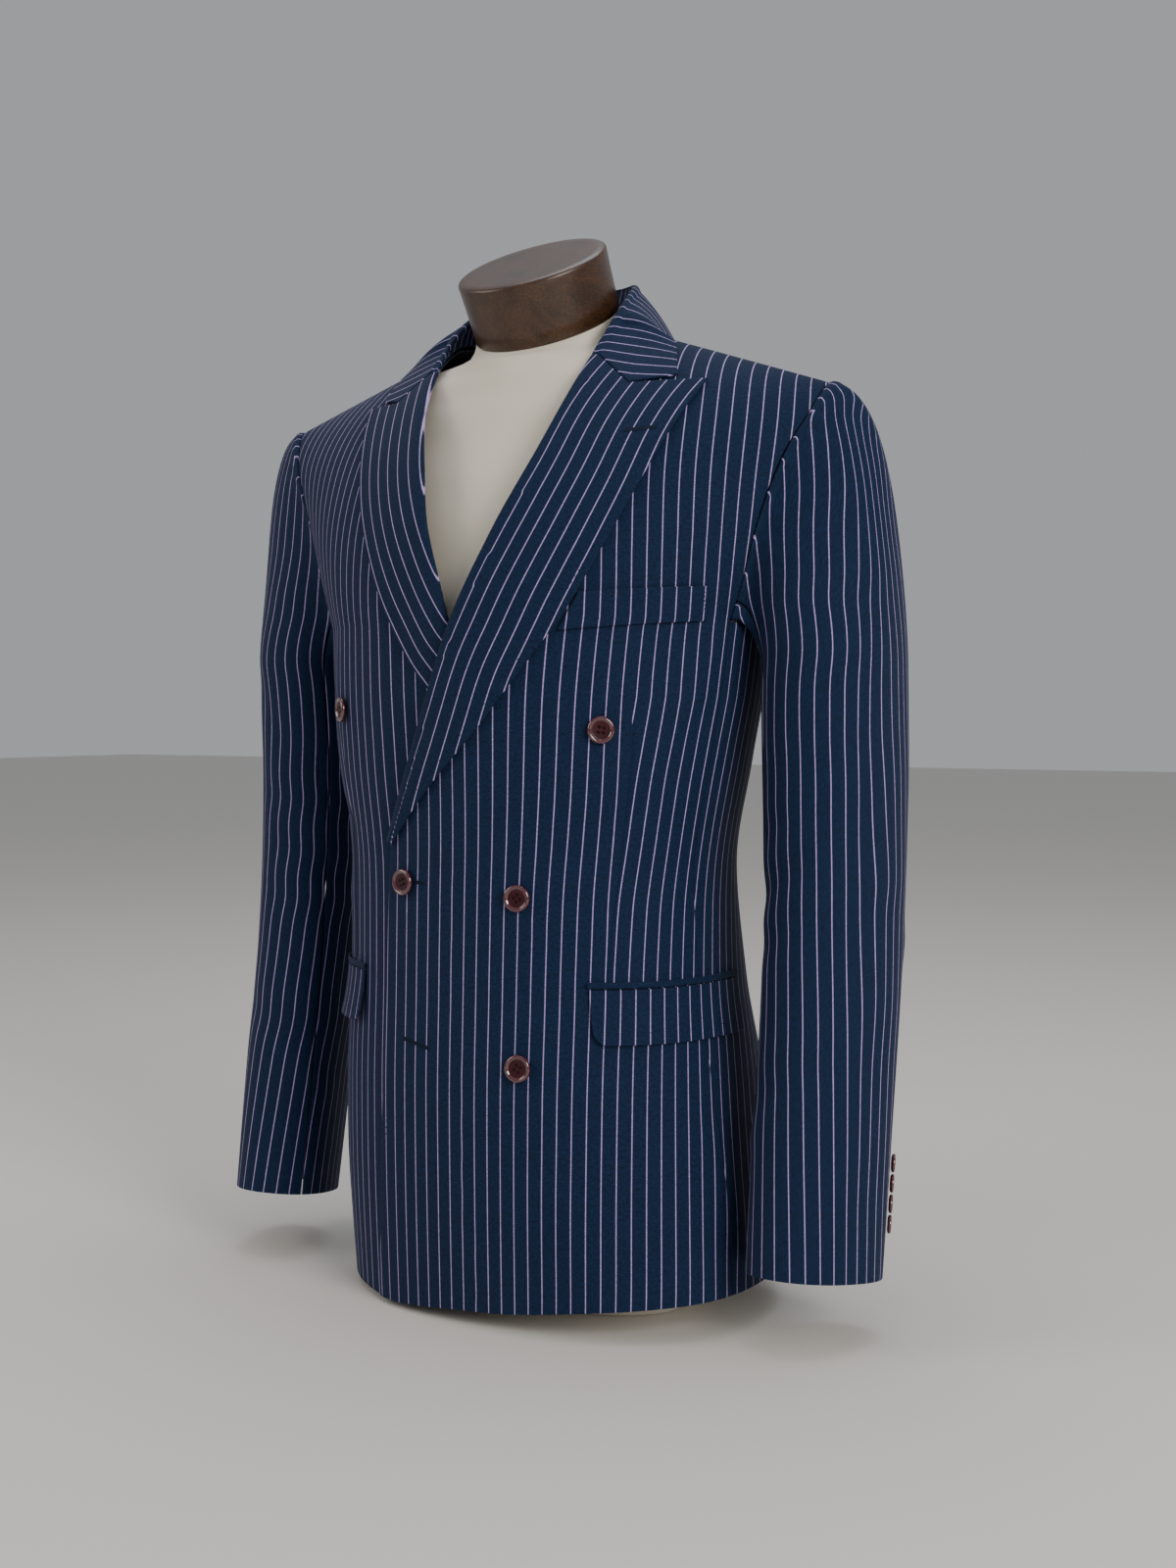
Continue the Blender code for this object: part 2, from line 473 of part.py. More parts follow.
def section(height, turn_points, side):
    """Points of a sleeve section at the given shares round it (0 outer, 0.25 front, 0.5 inner)."""
    xc, yc, bx, ay, rot = (float(curve(SLEEVE, height, k)) for k in range(1, 6))
    w = 2 * np.pi * np.asarray(turn_points)
    cw, sw = np.cos(w), np.sin(w)
    px = bx * np.sign(cw) * np.abs(cw) ** 0.9
    py = -ay * np.sign(sw) * np.abs(sw) ** 0.9
    r = radians(-rot)
    x = px * cos(r) - py * sin(r)
    y = px * sin(r) + py * cos(r)
    tilt = CUFF_TILT * step((0.20 - height) / 0.16)
    return np.stack([side * (xc + x), yc + y, height + tilt * y], -1)


sleeve_rows = {}
for side in (1, -1):
    fp, fn, fphi, fh = front_edge[side]
    bp, bn, bphi, bh = back_edge[side]
    sp, sn = side_top[side]
    k = len(LOW_ROWS) - 1
    f_in = unit(coat(fphi + side * 0.5, fh) - coat(fphi - side * 0.5, fh))[k:]
    b_in = unit(coat(bphi - side * 0.5, bh) - coat(bphi + side * 0.5, bh))[k:]
    pts = np.concatenate([fp[k:][::-1], sp[1:-1], bp[k:-1]])
    nrm = np.concatenate([fn[k:][::-1], sn[1:-1], bn[k:-1]])
    up = np.array([0.0, 0.0, 1.0])
    into = np.concatenate([f_in[::-1], np.repeat(up[None], 5, 0), b_in[:-1]])
    # the corners of the underarm look up and out together
    lo, hi = len(f_in) - 1, len(f_in) + 5
    into[lo] = unit(into[lo] + up)
    into[hi] = unit(into[hi] + up)
    pts[0, 1] = RIDGE_Y
    nrm = unit(nrm)
    apart = np.full((len(pts), 1), GAP * 2.2)
    apart[[lo - 1, lo, lo + 1, hi - 1, hi, hi + 1]] = GAP * 3.2
    start = pts + into * apart
    seg = np.linalg.norm(np.diff(np.concatenate([start, start[:1]]), axis=0), axis=1)
    share = np.append(0, np.cumsum(seg)[:-1]) / seg.sum()
    mid = 0.5 * (share[lo] + share[hi])
    # even the shares so that the underarm's middle faces the body
    share = np.where(share < mid, share * 0.5 / mid, 0.5 + (share - mid) * 0.5 / (1 - mid))
    end = section(SLEEVE[-1][0], share, side)
    span = np.linalg.norm(end - start, axis=1, keepdims=True)
    lead = into * (0.24 * span + 0.012)
    out = np.array([side * 1.0, 0, 0])
    lead[lo:hi + 1] += out * 0.016
    # the padded sleeve head first runs out level from the shoulder seam
    lead += HEAD_FULL * step((start[:, 2:] - 0.600) / 0.055) * (out + [0, 0, 0.15])
    tail = unit(section(SLEEVE[-1][0] - 0.03, share, side) - end) * (1.05 * span)
    rows = []
    for s in HEAD:
        rows.append((1 + 2 * s) * (1 - s) ** 2 * start + s * (1 - s) ** 2 * lead
                    + s * s * (3 - 2 * s) * end + s * s * (s - 1) * tail)
    rows += [section(z, share, side) for z in DOWN]
    grid = np.array(rows)
    closed = np.concatenate([grid[:, -1:], grid, grid[:, :1]], 1)
    du = closed[:, 2:] - closed[:, :-2]
    dv = np.gradient(grid, axis=0)
    n = unit(np.cross(du, dv)) * side
    n[0] = nrm
    n[1] = unit(n[1] + 0.5 * nrm)
    inner = grid - n * CLOTH
    fs, bs = int(np.argmin(np.abs(share - 0.37))), int(np.argmin(np.abs(share - 0.83)))
    side_name = "left" if side > 0 else "right"
    for piece, cols in (("top", list(range(bs, len(share))) + list(range(0, fs + 1))),
                        ("under", list(range(fs, bs + 1)))):
        both = [grid[:, cols].copy(), inner[:, cols].copy()]
        for a in both:
            a[:, 0] += unit(a[:, 1] - a[:, 0]) * GAP * 1.6
            a[:, -1] += unit(a[:, -2] - a[:, -1]) * GAP * 1.6
        wall("sleeve_%s_%s" % (piece, side_name), *both, "cloth")
    sleeve_rows[side] = (grid, share)


def panel(phi, h, side, lift):
    """Points on the outer face of a front or side panel, moved out."""
    n = coat_normal(phi, h)
    p = coat(phi, h) + n * lift[..., None]
    if side < 0:
        p = p + n * under(phi, h)[..., None]
    return p, n


# pockets: chest welt, then a jetting and a flap at each hip
u, v = np.meshgrid(np.linspace(0, 1, 9), np.linspace(0, 1, 4))
w4 = np.array(WELT)
corner = lambda c: ((w4[2, c] * (1 - u) + w4[3, c] * u) * (1 - v) + (w4[0, c] * (1 - u) + w4[1, c] * u) * v)
p, n = on_front(corner(0), corner(1), 1, 0.0025 + 0 * u)
wall("welt_pocket", p, p - n * FLAP, "lapel")
for side, tag in ((1, "left"), (-1, "right")):
    u, v = np.meshgrid(np.linspace(0, 1, 12), np.array([0, 0.08, 0.28, 0.6, 1.0]))
    h = FLAP_Z[0] + (FLAP_Z[1] - FLAP_Z[0]) * v
    r = 0.011
    cut_in = r - np.sqrt(np.clip(r ** 2 - np.clip(r - (h - FLAP_Z[0]), 0, r) ** 2, 0, None))
    start = FLAP_ROUND[0] + np.degrees(cut_in / 0.155)
    phi = side * (start * (1 - u) + FLAP_ROUND[1] * u)
    kick = (0.0018 if side > 0 else 0.0042)
    p, n = panel(phi, h, side, FLAP + 0.0009 + kick * (1 - v) ** 1.5)
    wall("flap_" + tag, p, p - n * FLAP, "cloth")
    u, v = np.meshgrid(np.linspace(0, 1, 14), np.linspace(0, 1, 3))
    h = JET_Z[0] + (JET_Z[1] - JET_Z[0]) * v
    phi = side * (FLAP_ROUND[0] - 0.5 + (FLAP_ROUND[1] - FLAP_ROUND[0] + 1.2) * u)
    p, n = panel(phi, h, side, FLAP + 0.0009 + 0.0004 * (1 - (2 * v - 1) ** 2))
    wall("jet_" + tag, p, p - n * FLAP, "cloth")


def turned(name, middle, axis, section, radius, kind, count):
    """A solid of revolution: rings from the section, closed with a flat cap at each end."""
    axis = unit(np.asarray(axis, float))
    side_dir = unit(np.cross(axis, [0.3, 0.1, 1.0]))
    other = np.cross(axis, side_dir)
    a = 2 * np.pi * np.arange(count) / count
    verts = [middle + axis * radius * hgt + radius * r * (side_dir * cos(t) + other * sin(t))
             for r, hgt in section for t in a]
    faces = [(k * count + j, k * count + (j + 1) % count, (k + 1) * count + (j + 1) % count, (k + 1) * count + j)
             for k in range(len(section) - 1) for j in range(count)]
    faces += [tuple(range(count))[::-1], tuple(range((len(section) - 1) * count, len(section) * count))]
    return build(name, verts, faces, kind)


# front buttons
for k, (side, x, z) in enumerate(BUTTONS):
    p, n = on_front(np.array(x), np.array(z), side)
    turned("button_%d" % (k + 1), p + n * 0.0005, n, BUTTON, BUTTON_R, "button", 14)

# cuff buttons, four a sleeve
VENT = 0.865            # share round the sleeve where the buttons sit


def on_sleeve(grid, share, at, z):
    """Point of a sleeve's outer face at this share round it and this height."""
    loop = np.append(share, 1.0)
    col = np.array([[np.interp(at, loop, np.append(row[:, c], row[0, c])) for c in range(3)] for row in grid])
    col = col[::-1]
    return np.array([np.interp(z, col[:, 2], col[:, c]) for c in range(3)])


for side, tag in ((1, "left"), (-1, "right")):
    grid, share = sleeve_rows[side]
    for k, z in enumerate(CUFF_BUTTONS):
        p = on_sleeve(grid, share, VENT, z)
        across = on_sleeve(grid, share, VENT + 0.02, z) - on_sleeve(grid, share, VENT - 0.02, z)
        along = on_sleeve(grid, share, VENT, z + 0.006) - on_sleeve(grid, share, VENT, z - 0.006)
        m = unit(np.cross(across, along)) * -side
        m = m * np.sign(m[0] * side)
        turned("cuff_button_%s_%d" % (tag, k + 1), p + m * 0.0007, m, BUTTON, CUFF_BUTTON_R, "button", 10)

# dress form torso: rings to the shoulders, then the neck leaning forward
SEG = 30
a = 2 * np.pi * np.arange(SEG) / SEG
rings = []
for z, half, yf, ym, yb, sq, fall in FORM:
    ca, sa = np.cos(a), np.sin(a)
    x = curve(BODY, z, 1) + half * np.sign(sa) * np.abs(sa) ** (2 / sq)
    c = np.sign(ca) * np.abs(ca) ** (2 / sq)
    rings.append(np.stack([x, ym - np.where(c > 0, (ym - yf) * c, (yb - ym) * c), z - fall * c], -1))
for z, y, r, tilt in NECK:
    t = radians(tilt)
    rings.append(np.stack([r * np.sin(a), y - r * np.cos(a) * cos(t), z - r * np.cos(a) * sin(t)], -1))
rings = np.array(rings)
count = len(rings)
faces = [(k * SEG + j, k * SEG + (j + 1) % SEG, (k + 1) * SEG + (j + 1) % SEG, (k + 1) * SEG + j)
         for k in range(count - 1) for j in range(SEG)]
faces += [tuple(range(SEG))[::-1], tuple(range((count - 1) * SEG, count * SEG))]
build("form_torso", rings.reshape(-1, 3), faces, "form")

# wooden neck block on the form's neck
t = radians(NECK[-1][3])
lean = np.array([0.0, -sin(t), cos(t)])
foot = np.array([0.0, NECK[-1][1], NECK[-1][0]]) + lean * GAP
turned("neck_block", foot, lean, [(r, h) for h, r in BLOCK], 1.0, "wood", 32)
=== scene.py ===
# Double-breasted pinstripe suit jacket on a limbless dress form.
# Metres, +Z up, the jacket faces -Y and the wearer's left is +X.
from math import cos, sin, radians, pi
import bpy
import numpy as np
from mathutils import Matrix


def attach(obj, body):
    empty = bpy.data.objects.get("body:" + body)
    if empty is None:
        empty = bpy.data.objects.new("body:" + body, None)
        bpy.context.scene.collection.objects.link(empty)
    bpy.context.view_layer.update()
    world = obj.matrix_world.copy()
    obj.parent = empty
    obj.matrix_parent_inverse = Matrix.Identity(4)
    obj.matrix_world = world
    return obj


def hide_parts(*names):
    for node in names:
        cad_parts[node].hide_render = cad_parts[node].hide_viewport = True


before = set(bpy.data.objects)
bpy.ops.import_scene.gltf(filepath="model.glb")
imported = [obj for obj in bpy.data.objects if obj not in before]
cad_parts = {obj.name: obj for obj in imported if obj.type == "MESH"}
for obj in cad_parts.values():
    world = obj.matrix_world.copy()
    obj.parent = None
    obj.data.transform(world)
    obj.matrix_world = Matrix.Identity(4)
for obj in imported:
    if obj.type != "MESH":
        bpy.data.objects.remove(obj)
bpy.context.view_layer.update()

# --- Floor, light and camera -------------------------------------------------------------
# A plain pale studio floor that the dress form stands on, two large soft boxes from the left
# and the right of the camera, a weak top light, and a camera at chest height.
def linear(colour):
    """sRGB hex colour to linear RGBA."""
    c = np.array([int(colour[i:i + 2], 16) for i in (1, 3, 5)]) / 255
    c = np.where(c <= 0.04045, c / 12.92, ((c + 0.055) / 1.055) ** 2.4)
    return (*[float(v) for v in c], 1.0)


def add(tree, kind, inputs=None, **settings):
    """Add a node with its settings; an input is a value or the socket that feeds it."""
    node = tree.nodes.new(kind)
    for key, value in settings.items():
        setattr(node, key, value)
    for socket, value in (inputs or {}).items():
        if isinstance(value, bpy.types.NodeSocket):
            tree.links.new(value, node.inputs[socket])
        else:
            node.inputs[socket].default_value = value
    return node


def material(name, **values):
    """A new Principled material; returns it, its tree and its shader."""
    mat = bpy.data.materials.new(name)
    mat.use_nodes = True
    shader = mat.node_tree.nodes["Principled BSDF"]
    for socket, value in values.items():
        shader.inputs[socket.replace("_", " ")].default_value = value
    return mat, mat.node_tree, shader


def add_bump(tree, shader, height, strength, depth=0.0003):
    """Fine relief for a shader, from a height between 0 and 1 and its depth in metres."""
    relief = add(tree, "ShaderNodeBump", {"Height": height, "Strength": strength, "Distance": depth})
    tree.links.new(relief.outputs[0], shader.inputs["Normal"])


def put(name, verts, faces, mats, uv=None, mat_index=None, caps=()):
    """Mesh object from vertices, an array of quads and lists of cap corners; uv holds one pair per
    corner of the quads, mat_index one number per quad."""
    verts, faces = np.asarray(verts, float), np.asarray(faces, int)
    corners = np.concatenate([faces.ravel()] + [np.asarray(c, int) for c in caps])
    sizes = np.array([4] * len(faces) + [len(c) for c in caps])
    mesh = bpy.data.meshes.new(name)
    mesh.vertices.add(len(verts))
    mesh.vertices.foreach_set("co", verts.ravel())
    mesh.loops.add(len(corners))
    mesh.loops.foreach_set("vertex_index", corners)
    mesh.polygons.add(len(sizes))
    mesh.polygons.foreach_set("loop_start", np.cumsum(sizes) - sizes)
    mesh.polygons.foreach_set("use_smooth", np.append(np.ones(len(faces), bool), np.zeros(len(caps), bool)))
    for mat in mats:
        mesh.materials.append(mat)
    if mat_index is not None:
        mesh.polygons.foreach_set("material_index", np.append(mat_index, np.zeros(len(caps))).astype(int))
    mesh.update(calc_edges=True)
    if uv is not None:
        pairs = np.append(np.asarray(uv, float).ravel(), np.zeros(2 * sum(map(len, caps))))
        mesh.uv_layers.new(name="cloth").data.foreach_set("uv", pairs)
    obj = bpy.data.objects.new(name, mesh)
    bpy.context.scene.collection.objects.link(obj)
    return obj


FLOOR_HALF, FLOOR_DROP = 12.0, 0.0004       # the floor lies a hair below the form's foot
floor_paint = material("matt_floor_paint", Roughness=0.9, Base_Color=linear("#D9D6D1"))[0]
floor = put("studio_floor", np.array([[-1, -1, 0], [1, -1, 0], [1, 1, 0], [-1, 1, 0]]) * FLOOR_HALF
            - [0, 0, FLOOR_DROP], [[0, 1, 2, 3]], [floor_paint])

world = bpy.data.worlds.new("studio")
bpy.context.scene.world = world
world.use_nodes = True
backdrop = world.node_tree.nodes["Background"].inputs
backdrop["Color"].default_value, backdrop["Strength"].default_value = linear("#E4E6EA"), 0.48
LIT_SPOT = (0, 0, 0.42)     # all lamps point here
SOFTBOXES = [  # name, place, size, watts, colour
    ("left_softbox", (-1.9, -1.7, 1.5), 1.5, 24, "#FFF6EC"),
    ("right_softbox", (2.6, -1.3, 1.4), 1.3, 64, "#FFF8F0"),
    ("top_softbox", (0.0, 0.3, 2.6), 1.6, 22, "#F4F8FF"),
]
for name, spot, size, watts, colour in SOFTBOXES:
    lamp = bpy.data.lights.new(name, "AREA")
    lamp.shape, lamp.size, lamp.energy, lamp.color = "SQUARE", size, watts, linear(colour)[:3]
    obj = bpy.data.objects.new(name, lamp)
    obj.location = spot
    aim = np.array(LIT_SPOT) - np.array(spot)
    obj.rotation_euler = (float(np.arctan2(np.hypot(aim[0], aim[1]), -aim[2])), 0,
                          float(np.arctan2(aim[1], aim[0]) - pi / 2))
    bpy.context.scene.collection.objects.link(obj)

VIEW_TURN, VIEW_REACH, VIEW_HEIGHT = radians(31), 1.45, 0.4376
lens = bpy.data.cameras.new("camera")
lens.sensor_fit, lens.sensor_height, lens.lens = "VERTICAL", 36, 42.75
lens.shift_x, lens.shift_y = 0.02, -0.048
camera = bpy.data.objects.new("camera", lens)
camera.location = (VIEW_REACH * sin(VIEW_TURN), -VIEW_REACH * cos(VIEW_TURN), VIEW_HEIGHT)
camera.rotation_euler = (pi / 2, 0, VIEW_TURN)
bpy.context.scene.collection.objects.link(camera)
bpy.context.scene.camera = camera

# --- Suiting and lining ------------------------------------------------------------------
# Worsted wool in navy with a mauve pinstripe every 10.5 mm, pressed and slightly hairy: matt
# with a faint sheen at grazing angles. The lining is navy twill-backed satin.
PINSTRIPE_GAP, PINSTRIPE_HALF, PINSTRIPE_SOFT = 0.0105, 0.00035, 0.00022   # step, half width, soft edge
PINSTRIPE_DOT = 0.0019  # step of the weave along a stripe
FIBRE_SCALE, CLOUD_SCALE = 450.0, 60.0
TWILL_STEP = 0.0013     # real twill lines are 0.5 mm apart; drawn coarser so that they show
NAVY, NAVY_LIT, PINSTRIPE = "#07152B", "#0F2647", "#B9A5DC"


def suiting(name, striped):
    """Worsted wool: two close navies mixed by noise, twill and fibre bump, and pinstripes where
    the map's first coordinate comes close to an odd half of the gap."""
    mat, tree, shader = material(name, Roughness=0.80, Sheen_Weight=0.06, Sheen_Roughness=0.4,
                                 Specular_IOR_Level=0.16)
    place_on = add(tree, "ShaderNodeUVMap", uv_map="cloth").outputs[0]
    split = add(tree, "ShaderNodeSeparateXYZ", {0: place_on})
    across, along = split.outputs[0], split.outputs[1]
    math = lambda op, a, b=0.0: add(tree, "ShaderNodeMath", {0: a, 1: b}, operation=op).outputs[0]
    fibre = add(tree, "ShaderNodeTexNoise", {"Vector": place_on, "Scale": FIBRE_SCALE, "Detail": 2.0,
                                             "Roughness": 0.7}).outputs[0]
    cloud = add(tree, "ShaderNodeTexNoise", {"Vector": place_on, "Scale": CLOUD_SCALE,
                                             "Detail": 3.0}).outputs[0]
    twill = math("SINE", math("MULTIPLY", math("ADD", across, along), 2 * pi / TWILL_STEP))
    tone = math("ADD", math("MULTIPLY", math("SUBTRACT", fibre, 0.344), 2.4), math("MULTIPLY", cloud, 0.30))
    tone = math("ADD", tone, math("MULTIPLY", twill, 0.05))
    navy = add(tree, "ShaderNodeMix", {"Factor": tone, "A": linear(NAVY), "B": linear(NAVY_LIT)},
               data_type="RGBA")
    colour = navy.outputs["Result"]
    height = math("ADD", math("MULTIPLY", twill, 0.25), fibre)
    if striped:
        off = math("ABSOLUTE", math("SUBTRACT", math("FRACT", math("DIVIDE", across, PINSTRIPE_GAP)), 0.5))
        off = math("MULTIPLY", off, PINSTRIPE_GAP)
        wobble = math("MULTIPLY", math("SUBTRACT", fibre, 0.5), 0.0005)
        band = add(tree, "ShaderNodeMapRange", {"Value": math("ADD", off, wobble),
                   "From Min": PINSTRIPE_HALF - PINSTRIPE_SOFT, "From Max": PINSTRIPE_HALF + PINSTRIPE_SOFT,
                   "To Min": 1.0, "To Max": 0.0}, interpolation_type="SMOOTHSTEP").outputs[0]
        dots = math("SINE", math("MULTIPLY", along, 2 * pi / PINSTRIPE_DOT))
        dots = math("ADD", 0.86, math("MULTIPLY", dots, 0.10))
        band = math("MULTIPLY", band, dots)
        colour = add(tree, "ShaderNodeMix", {"Factor": band, "A": colour, "B": linear(PINSTRIPE)},
                     data_type="RGBA").outputs["Result"]
        height = math("ADD", height, math("MULTIPLY", band, 0.6))
    tree.links.new(colour, shader.inputs["Base Color"])
    add_bump(tree, shader, height, 0.35)
    return mat


pinstripe_wool = suiting("pinstripe_worsted_wool", True)
plain_wool = suiting("plain_worsted_wool", False)
satin, tree, shader = material("navy_satin_lining", Roughness=0.38, Sheen_Weight=0.1,
                               Base_Color=linear("#131C2E"))
rib = add(tree, "ShaderNodeTexNoise", {"Vector": add(tree, "ShaderNodeUVMap", uv_map="cloth").outputs[0],
                                       "Scale": 700.0, "Detail": 1.0})
add_bump(tree, shader, rib.outputs[0], 0.2, 0.0002)

# --- Body of the jacket: two fronts, two side panels, two backs ------------------------------
# Each panel is cut from the suiting, pressed and lined, and hangs from the form's shoulders. The
# panels share one smooth surface and draw down into a groove wherever two of them are sewn.
SIDES = ((1, "left"), (-1, "right"))
UP = np.array([0.0, 0.0, 1.0])
CLOTH, FRONT_CLOTH, LAPEL_CLOTH = 0.0016, 0.0017, 0.0021
SEAM, GROOVE = 0.0003, 0.0003       # gap between two sewn edges, and how far they draw down
CLOSE = (0.00012, 0.00035, 0.0007, 0.0012, 0.0020)      # first steps in from an edge
CHEST, RIDGE_Y, SIDE_Y = 0.500, -0.018, -0.025
FRONT_ROLL, BACK_ROLL, BACK_SQUARE = 1.55, 0.85, 2.3
NECK_HALF, NECK_DEEP = 0.075, 0.063
SIDE_SEAMS = (76.0, 118.0)
OVERLAP_IN, LAPEL_ROOM = 0.0023, 0.0042     # room under the lap and under the left lapel
METRES_PER_DEGREE = 0.0027                  # round the jacket
BODY = [  # height, middle x, half width, front y, back y, squareness of the front
    (0.000, 0.020, 0.165, -0.146, 0.116, 2.30), (0.080, 0.015, 0.166, -0.148, 0.119, 2.30),
    (0.160, 0.009, 0.162, -0.149, 0.116, 2.25), (0.240, 0.004, 0.154, -0.147, 0.104, 2.20),
    (0.320, 0.001, 0.152, -0.146, 0.090, 2.15), (0.400, 0.000, 0.166, -0.150, 0.094, 2.05),
    (0.460, 0.000, 0.176, -0.153, 0.104, 1.90), (0.500, 0.000, 0.180, -0.153, 0.109, 1.80)]
# degrees of closing above the chest and half width; then x and height of the shoulder ridge
UPPER = [(0, 0.180), (15, 0.198), (30, 0.215), (50, 0.239), (70, 0.252), (90, 0.258)]
SHOULDER = [(0.000, 0.737), (0.050, 0.730), (0.075, 0.7225), (0.110, 0.7110), (0.170, 0.6905),
            (0.235, 0.668), (0.270, 0.656)]
# degrees round and height; then, for each side, height and x of the front's free edge and roll line
HEM = [(-180, 0.0190), (-118, 0.0150), (-90, 0.0105), (-60, 0.0055), (-30, 0.0035), (0, 0.0115),
       (30, 0.0215), (55, 0.0250), (90, 0.0265), (118, 0.0235), (180, 0.0190)]
EDGE = {1: [(0.000, -0.0744), (0.094, -0.0694), (0.203, -0.0642), (0.310, -0.0612), (0.338, -0.0590)],
        -1: [(0.000, 0.0760), (0.203, 0.0650), (0.338, 0.0590)]}
ROLL = {1: [(0.338, -0.0590), (0.385, -0.0385), (0.440, -0.0160), (0.488, 0.0022), (0.560, 0.0345),
            (0.630, 0.0605), (0.672, 0.0680), (0.697, 0.0700)],
        -1: [(0.338, 0.0590), (0.385, 0.0370), (0.440, 0.0155), (0.481, 0.0010), (0.531, -0.0145),
             (0.570, -0.0280), (0.612, -0.0410), (0.655, -0.0590), (0.697, -0.0740)]}
# height, x in front and x behind
ARMHOLE = [(0.500, 0.1741, 0.1615), (0.5226, 0.1822, 0.172), (0.5631, 0.1945, 0.185),
           (0.5903, 0.2034, 0.196), (0.6173, 0.2142, 0.208), (0.6452, 0.2270, 0.2225),
           (0.668, 0.2350, 0.2350)]
DART = [(0.0, 0.1040), (0.259, 0.1110), (0.330, 0.1165), (0.429, 0.1270), (0.720, 0.1290)]   # height, x
# height, cloth taken in between the pocket and the chest
DART_TAKE = [(0.2440, 0.0), (0.2452, 0.0150), (0.290, 0.0140), (0.333, 0.0112), (0.380, 0.0083),
             (0.410, 0.0046), (0.434, 0.0014), (0.446, 0.0)]
SIDE_TAKE = [(0.0, 0.0105), (0.200, 0.0105)] + DART_TAKE[1:]      # the same for the side panels
# lean of the pinstripes: height, metres that they move outwards
LEAN = [(0.250, 0.0), (0.300, 0.0010), (0.320, 0.0022), (0.354, 0.0057), (0.372, 0.0077), (0.389, 0.0092),
        (0.423, 0.0116), (0.457, 0.0142), (0.489, 0.0170), (0.506, 0.0188), (0.522, 0.0192), (0.555, 0.0177),
        (0.571, 0.0162), (0.604, 0.0122), (0.638, 0.0080), (0.656, 0.0047), (0.685, -0.0025),
        (0.705, -0.0075)]
STRIPE_SHIFT = {1: 0.0047, -1: 0.0020}
# soft folds: degrees round and height of both ends, half width, depth (metres; minus is a hollow)
FOLDS = [(58, 0.405, 74, 0.500, 0.012, 0.0016), (50, 0.440, 66, 0.545, 0.014, -0.0014),
         (20, 0.330, 52, 0.368, 0.010, -0.0008), (14, 0.296, 48, 0.272, 0.011, 0.0008),
         (-44, 0.345, -70, 0.368, 0.010, -0.0011), (-50, 0.300, -78, 0.290, 0.012, 0.0010),
         (-66, 0.420, -52, 0.520, 0.013, -0.0013), (70, 0.150, 84, 0.020, 0.018, 0.0018),
         (-72, 0.140, -80, 0.020, 0.018, 0.0016), (126, 0.400, 150, 0.330, 0.013, -0.0014),
         (-128, 0.395, -152, 0.322, 0.013, -0.0013), (134, 0.340, 168, 0.300, 0.012, 0.0011),
         (-138, 0.332, -170, 0.296, 0.012, 0.0012), (120, 0.520, 134, 0.440, 0.014, 0.0017),
         (-122, 0.516, -136, 0.436, 0.014, 0.0016), (150, 0.180, 142, 0.020, 0.022, 0.0022),
         (-154, 0.170, -144, 0.020, 0.022, 0.0020), (22, 0.120, 30, 0.010, 0.020, 0.0010)]


def hermite(s, a, b, a_way, b_way):
    """Cubic from a at s = 0 to b at s = 1, with these slopes at its ends."""
    return ((1 + 2 * s) * (1 - s) ** 2 * a + s * (1 - s) ** 2 * a_way
            + s * s * (3 - 2 * s) * b + s * s * (s - 1) * b_way)


def curve(table, t, col=1):
    """Smooth curve through a column of a table, monotone between its rows (harmonic slopes)."""
    a = np.array([[float(v) for v in row] for row in table])
    x, y = a[:, 0], a[:, col]
    d = np.diff(y) / np.diff(x)
    m = np.empty_like(y)
    m[0], m[-1] = d[0], d[-1]
    both = d[:-1] + d[1:]
    m[1:-1] = np.where(d[:-1] * d[1:] > 0, 2 * d[:-1] * d[1:] / np.where(both == 0, 1, both), 0)
    t = np.clip(np.asarray(t, float), x[0], x[-1])
    i = np.clip(np.searchsorted(x, t) - 1, 0, len(x) - 2)
    h = x[i + 1] - x[i]
    return hermite((t - x[i]) / h, y[i], y[i + 1], h * m[i], h * m[i + 1])


def step(t):
    """Smooth step from 0 at t = 0 to 1 at t = 1."""
    t = np.clip(t, 0, 1)
    return t * t * (3 - 2 * t)


def unit(v):
    """Vectors brought to length 1."""
    return v / np.maximum(np.linalg.norm(v, axis=-1, keepdims=True), 1e-12)


def run_along(points):
    """Distance from the first of a line of points to each of them."""
    return np.append(0, np.cumsum(np.linalg.norm(np.diff(points, axis=0), axis=-1)))


def neck_curve(x):
    """Depth of the back neckline, from 1 at its middle to 0 at the neck point."""
    return np.clip(1 - (np.asarray(x, float) / NECK_HALF) ** 2, 0, 1) ** 0.7


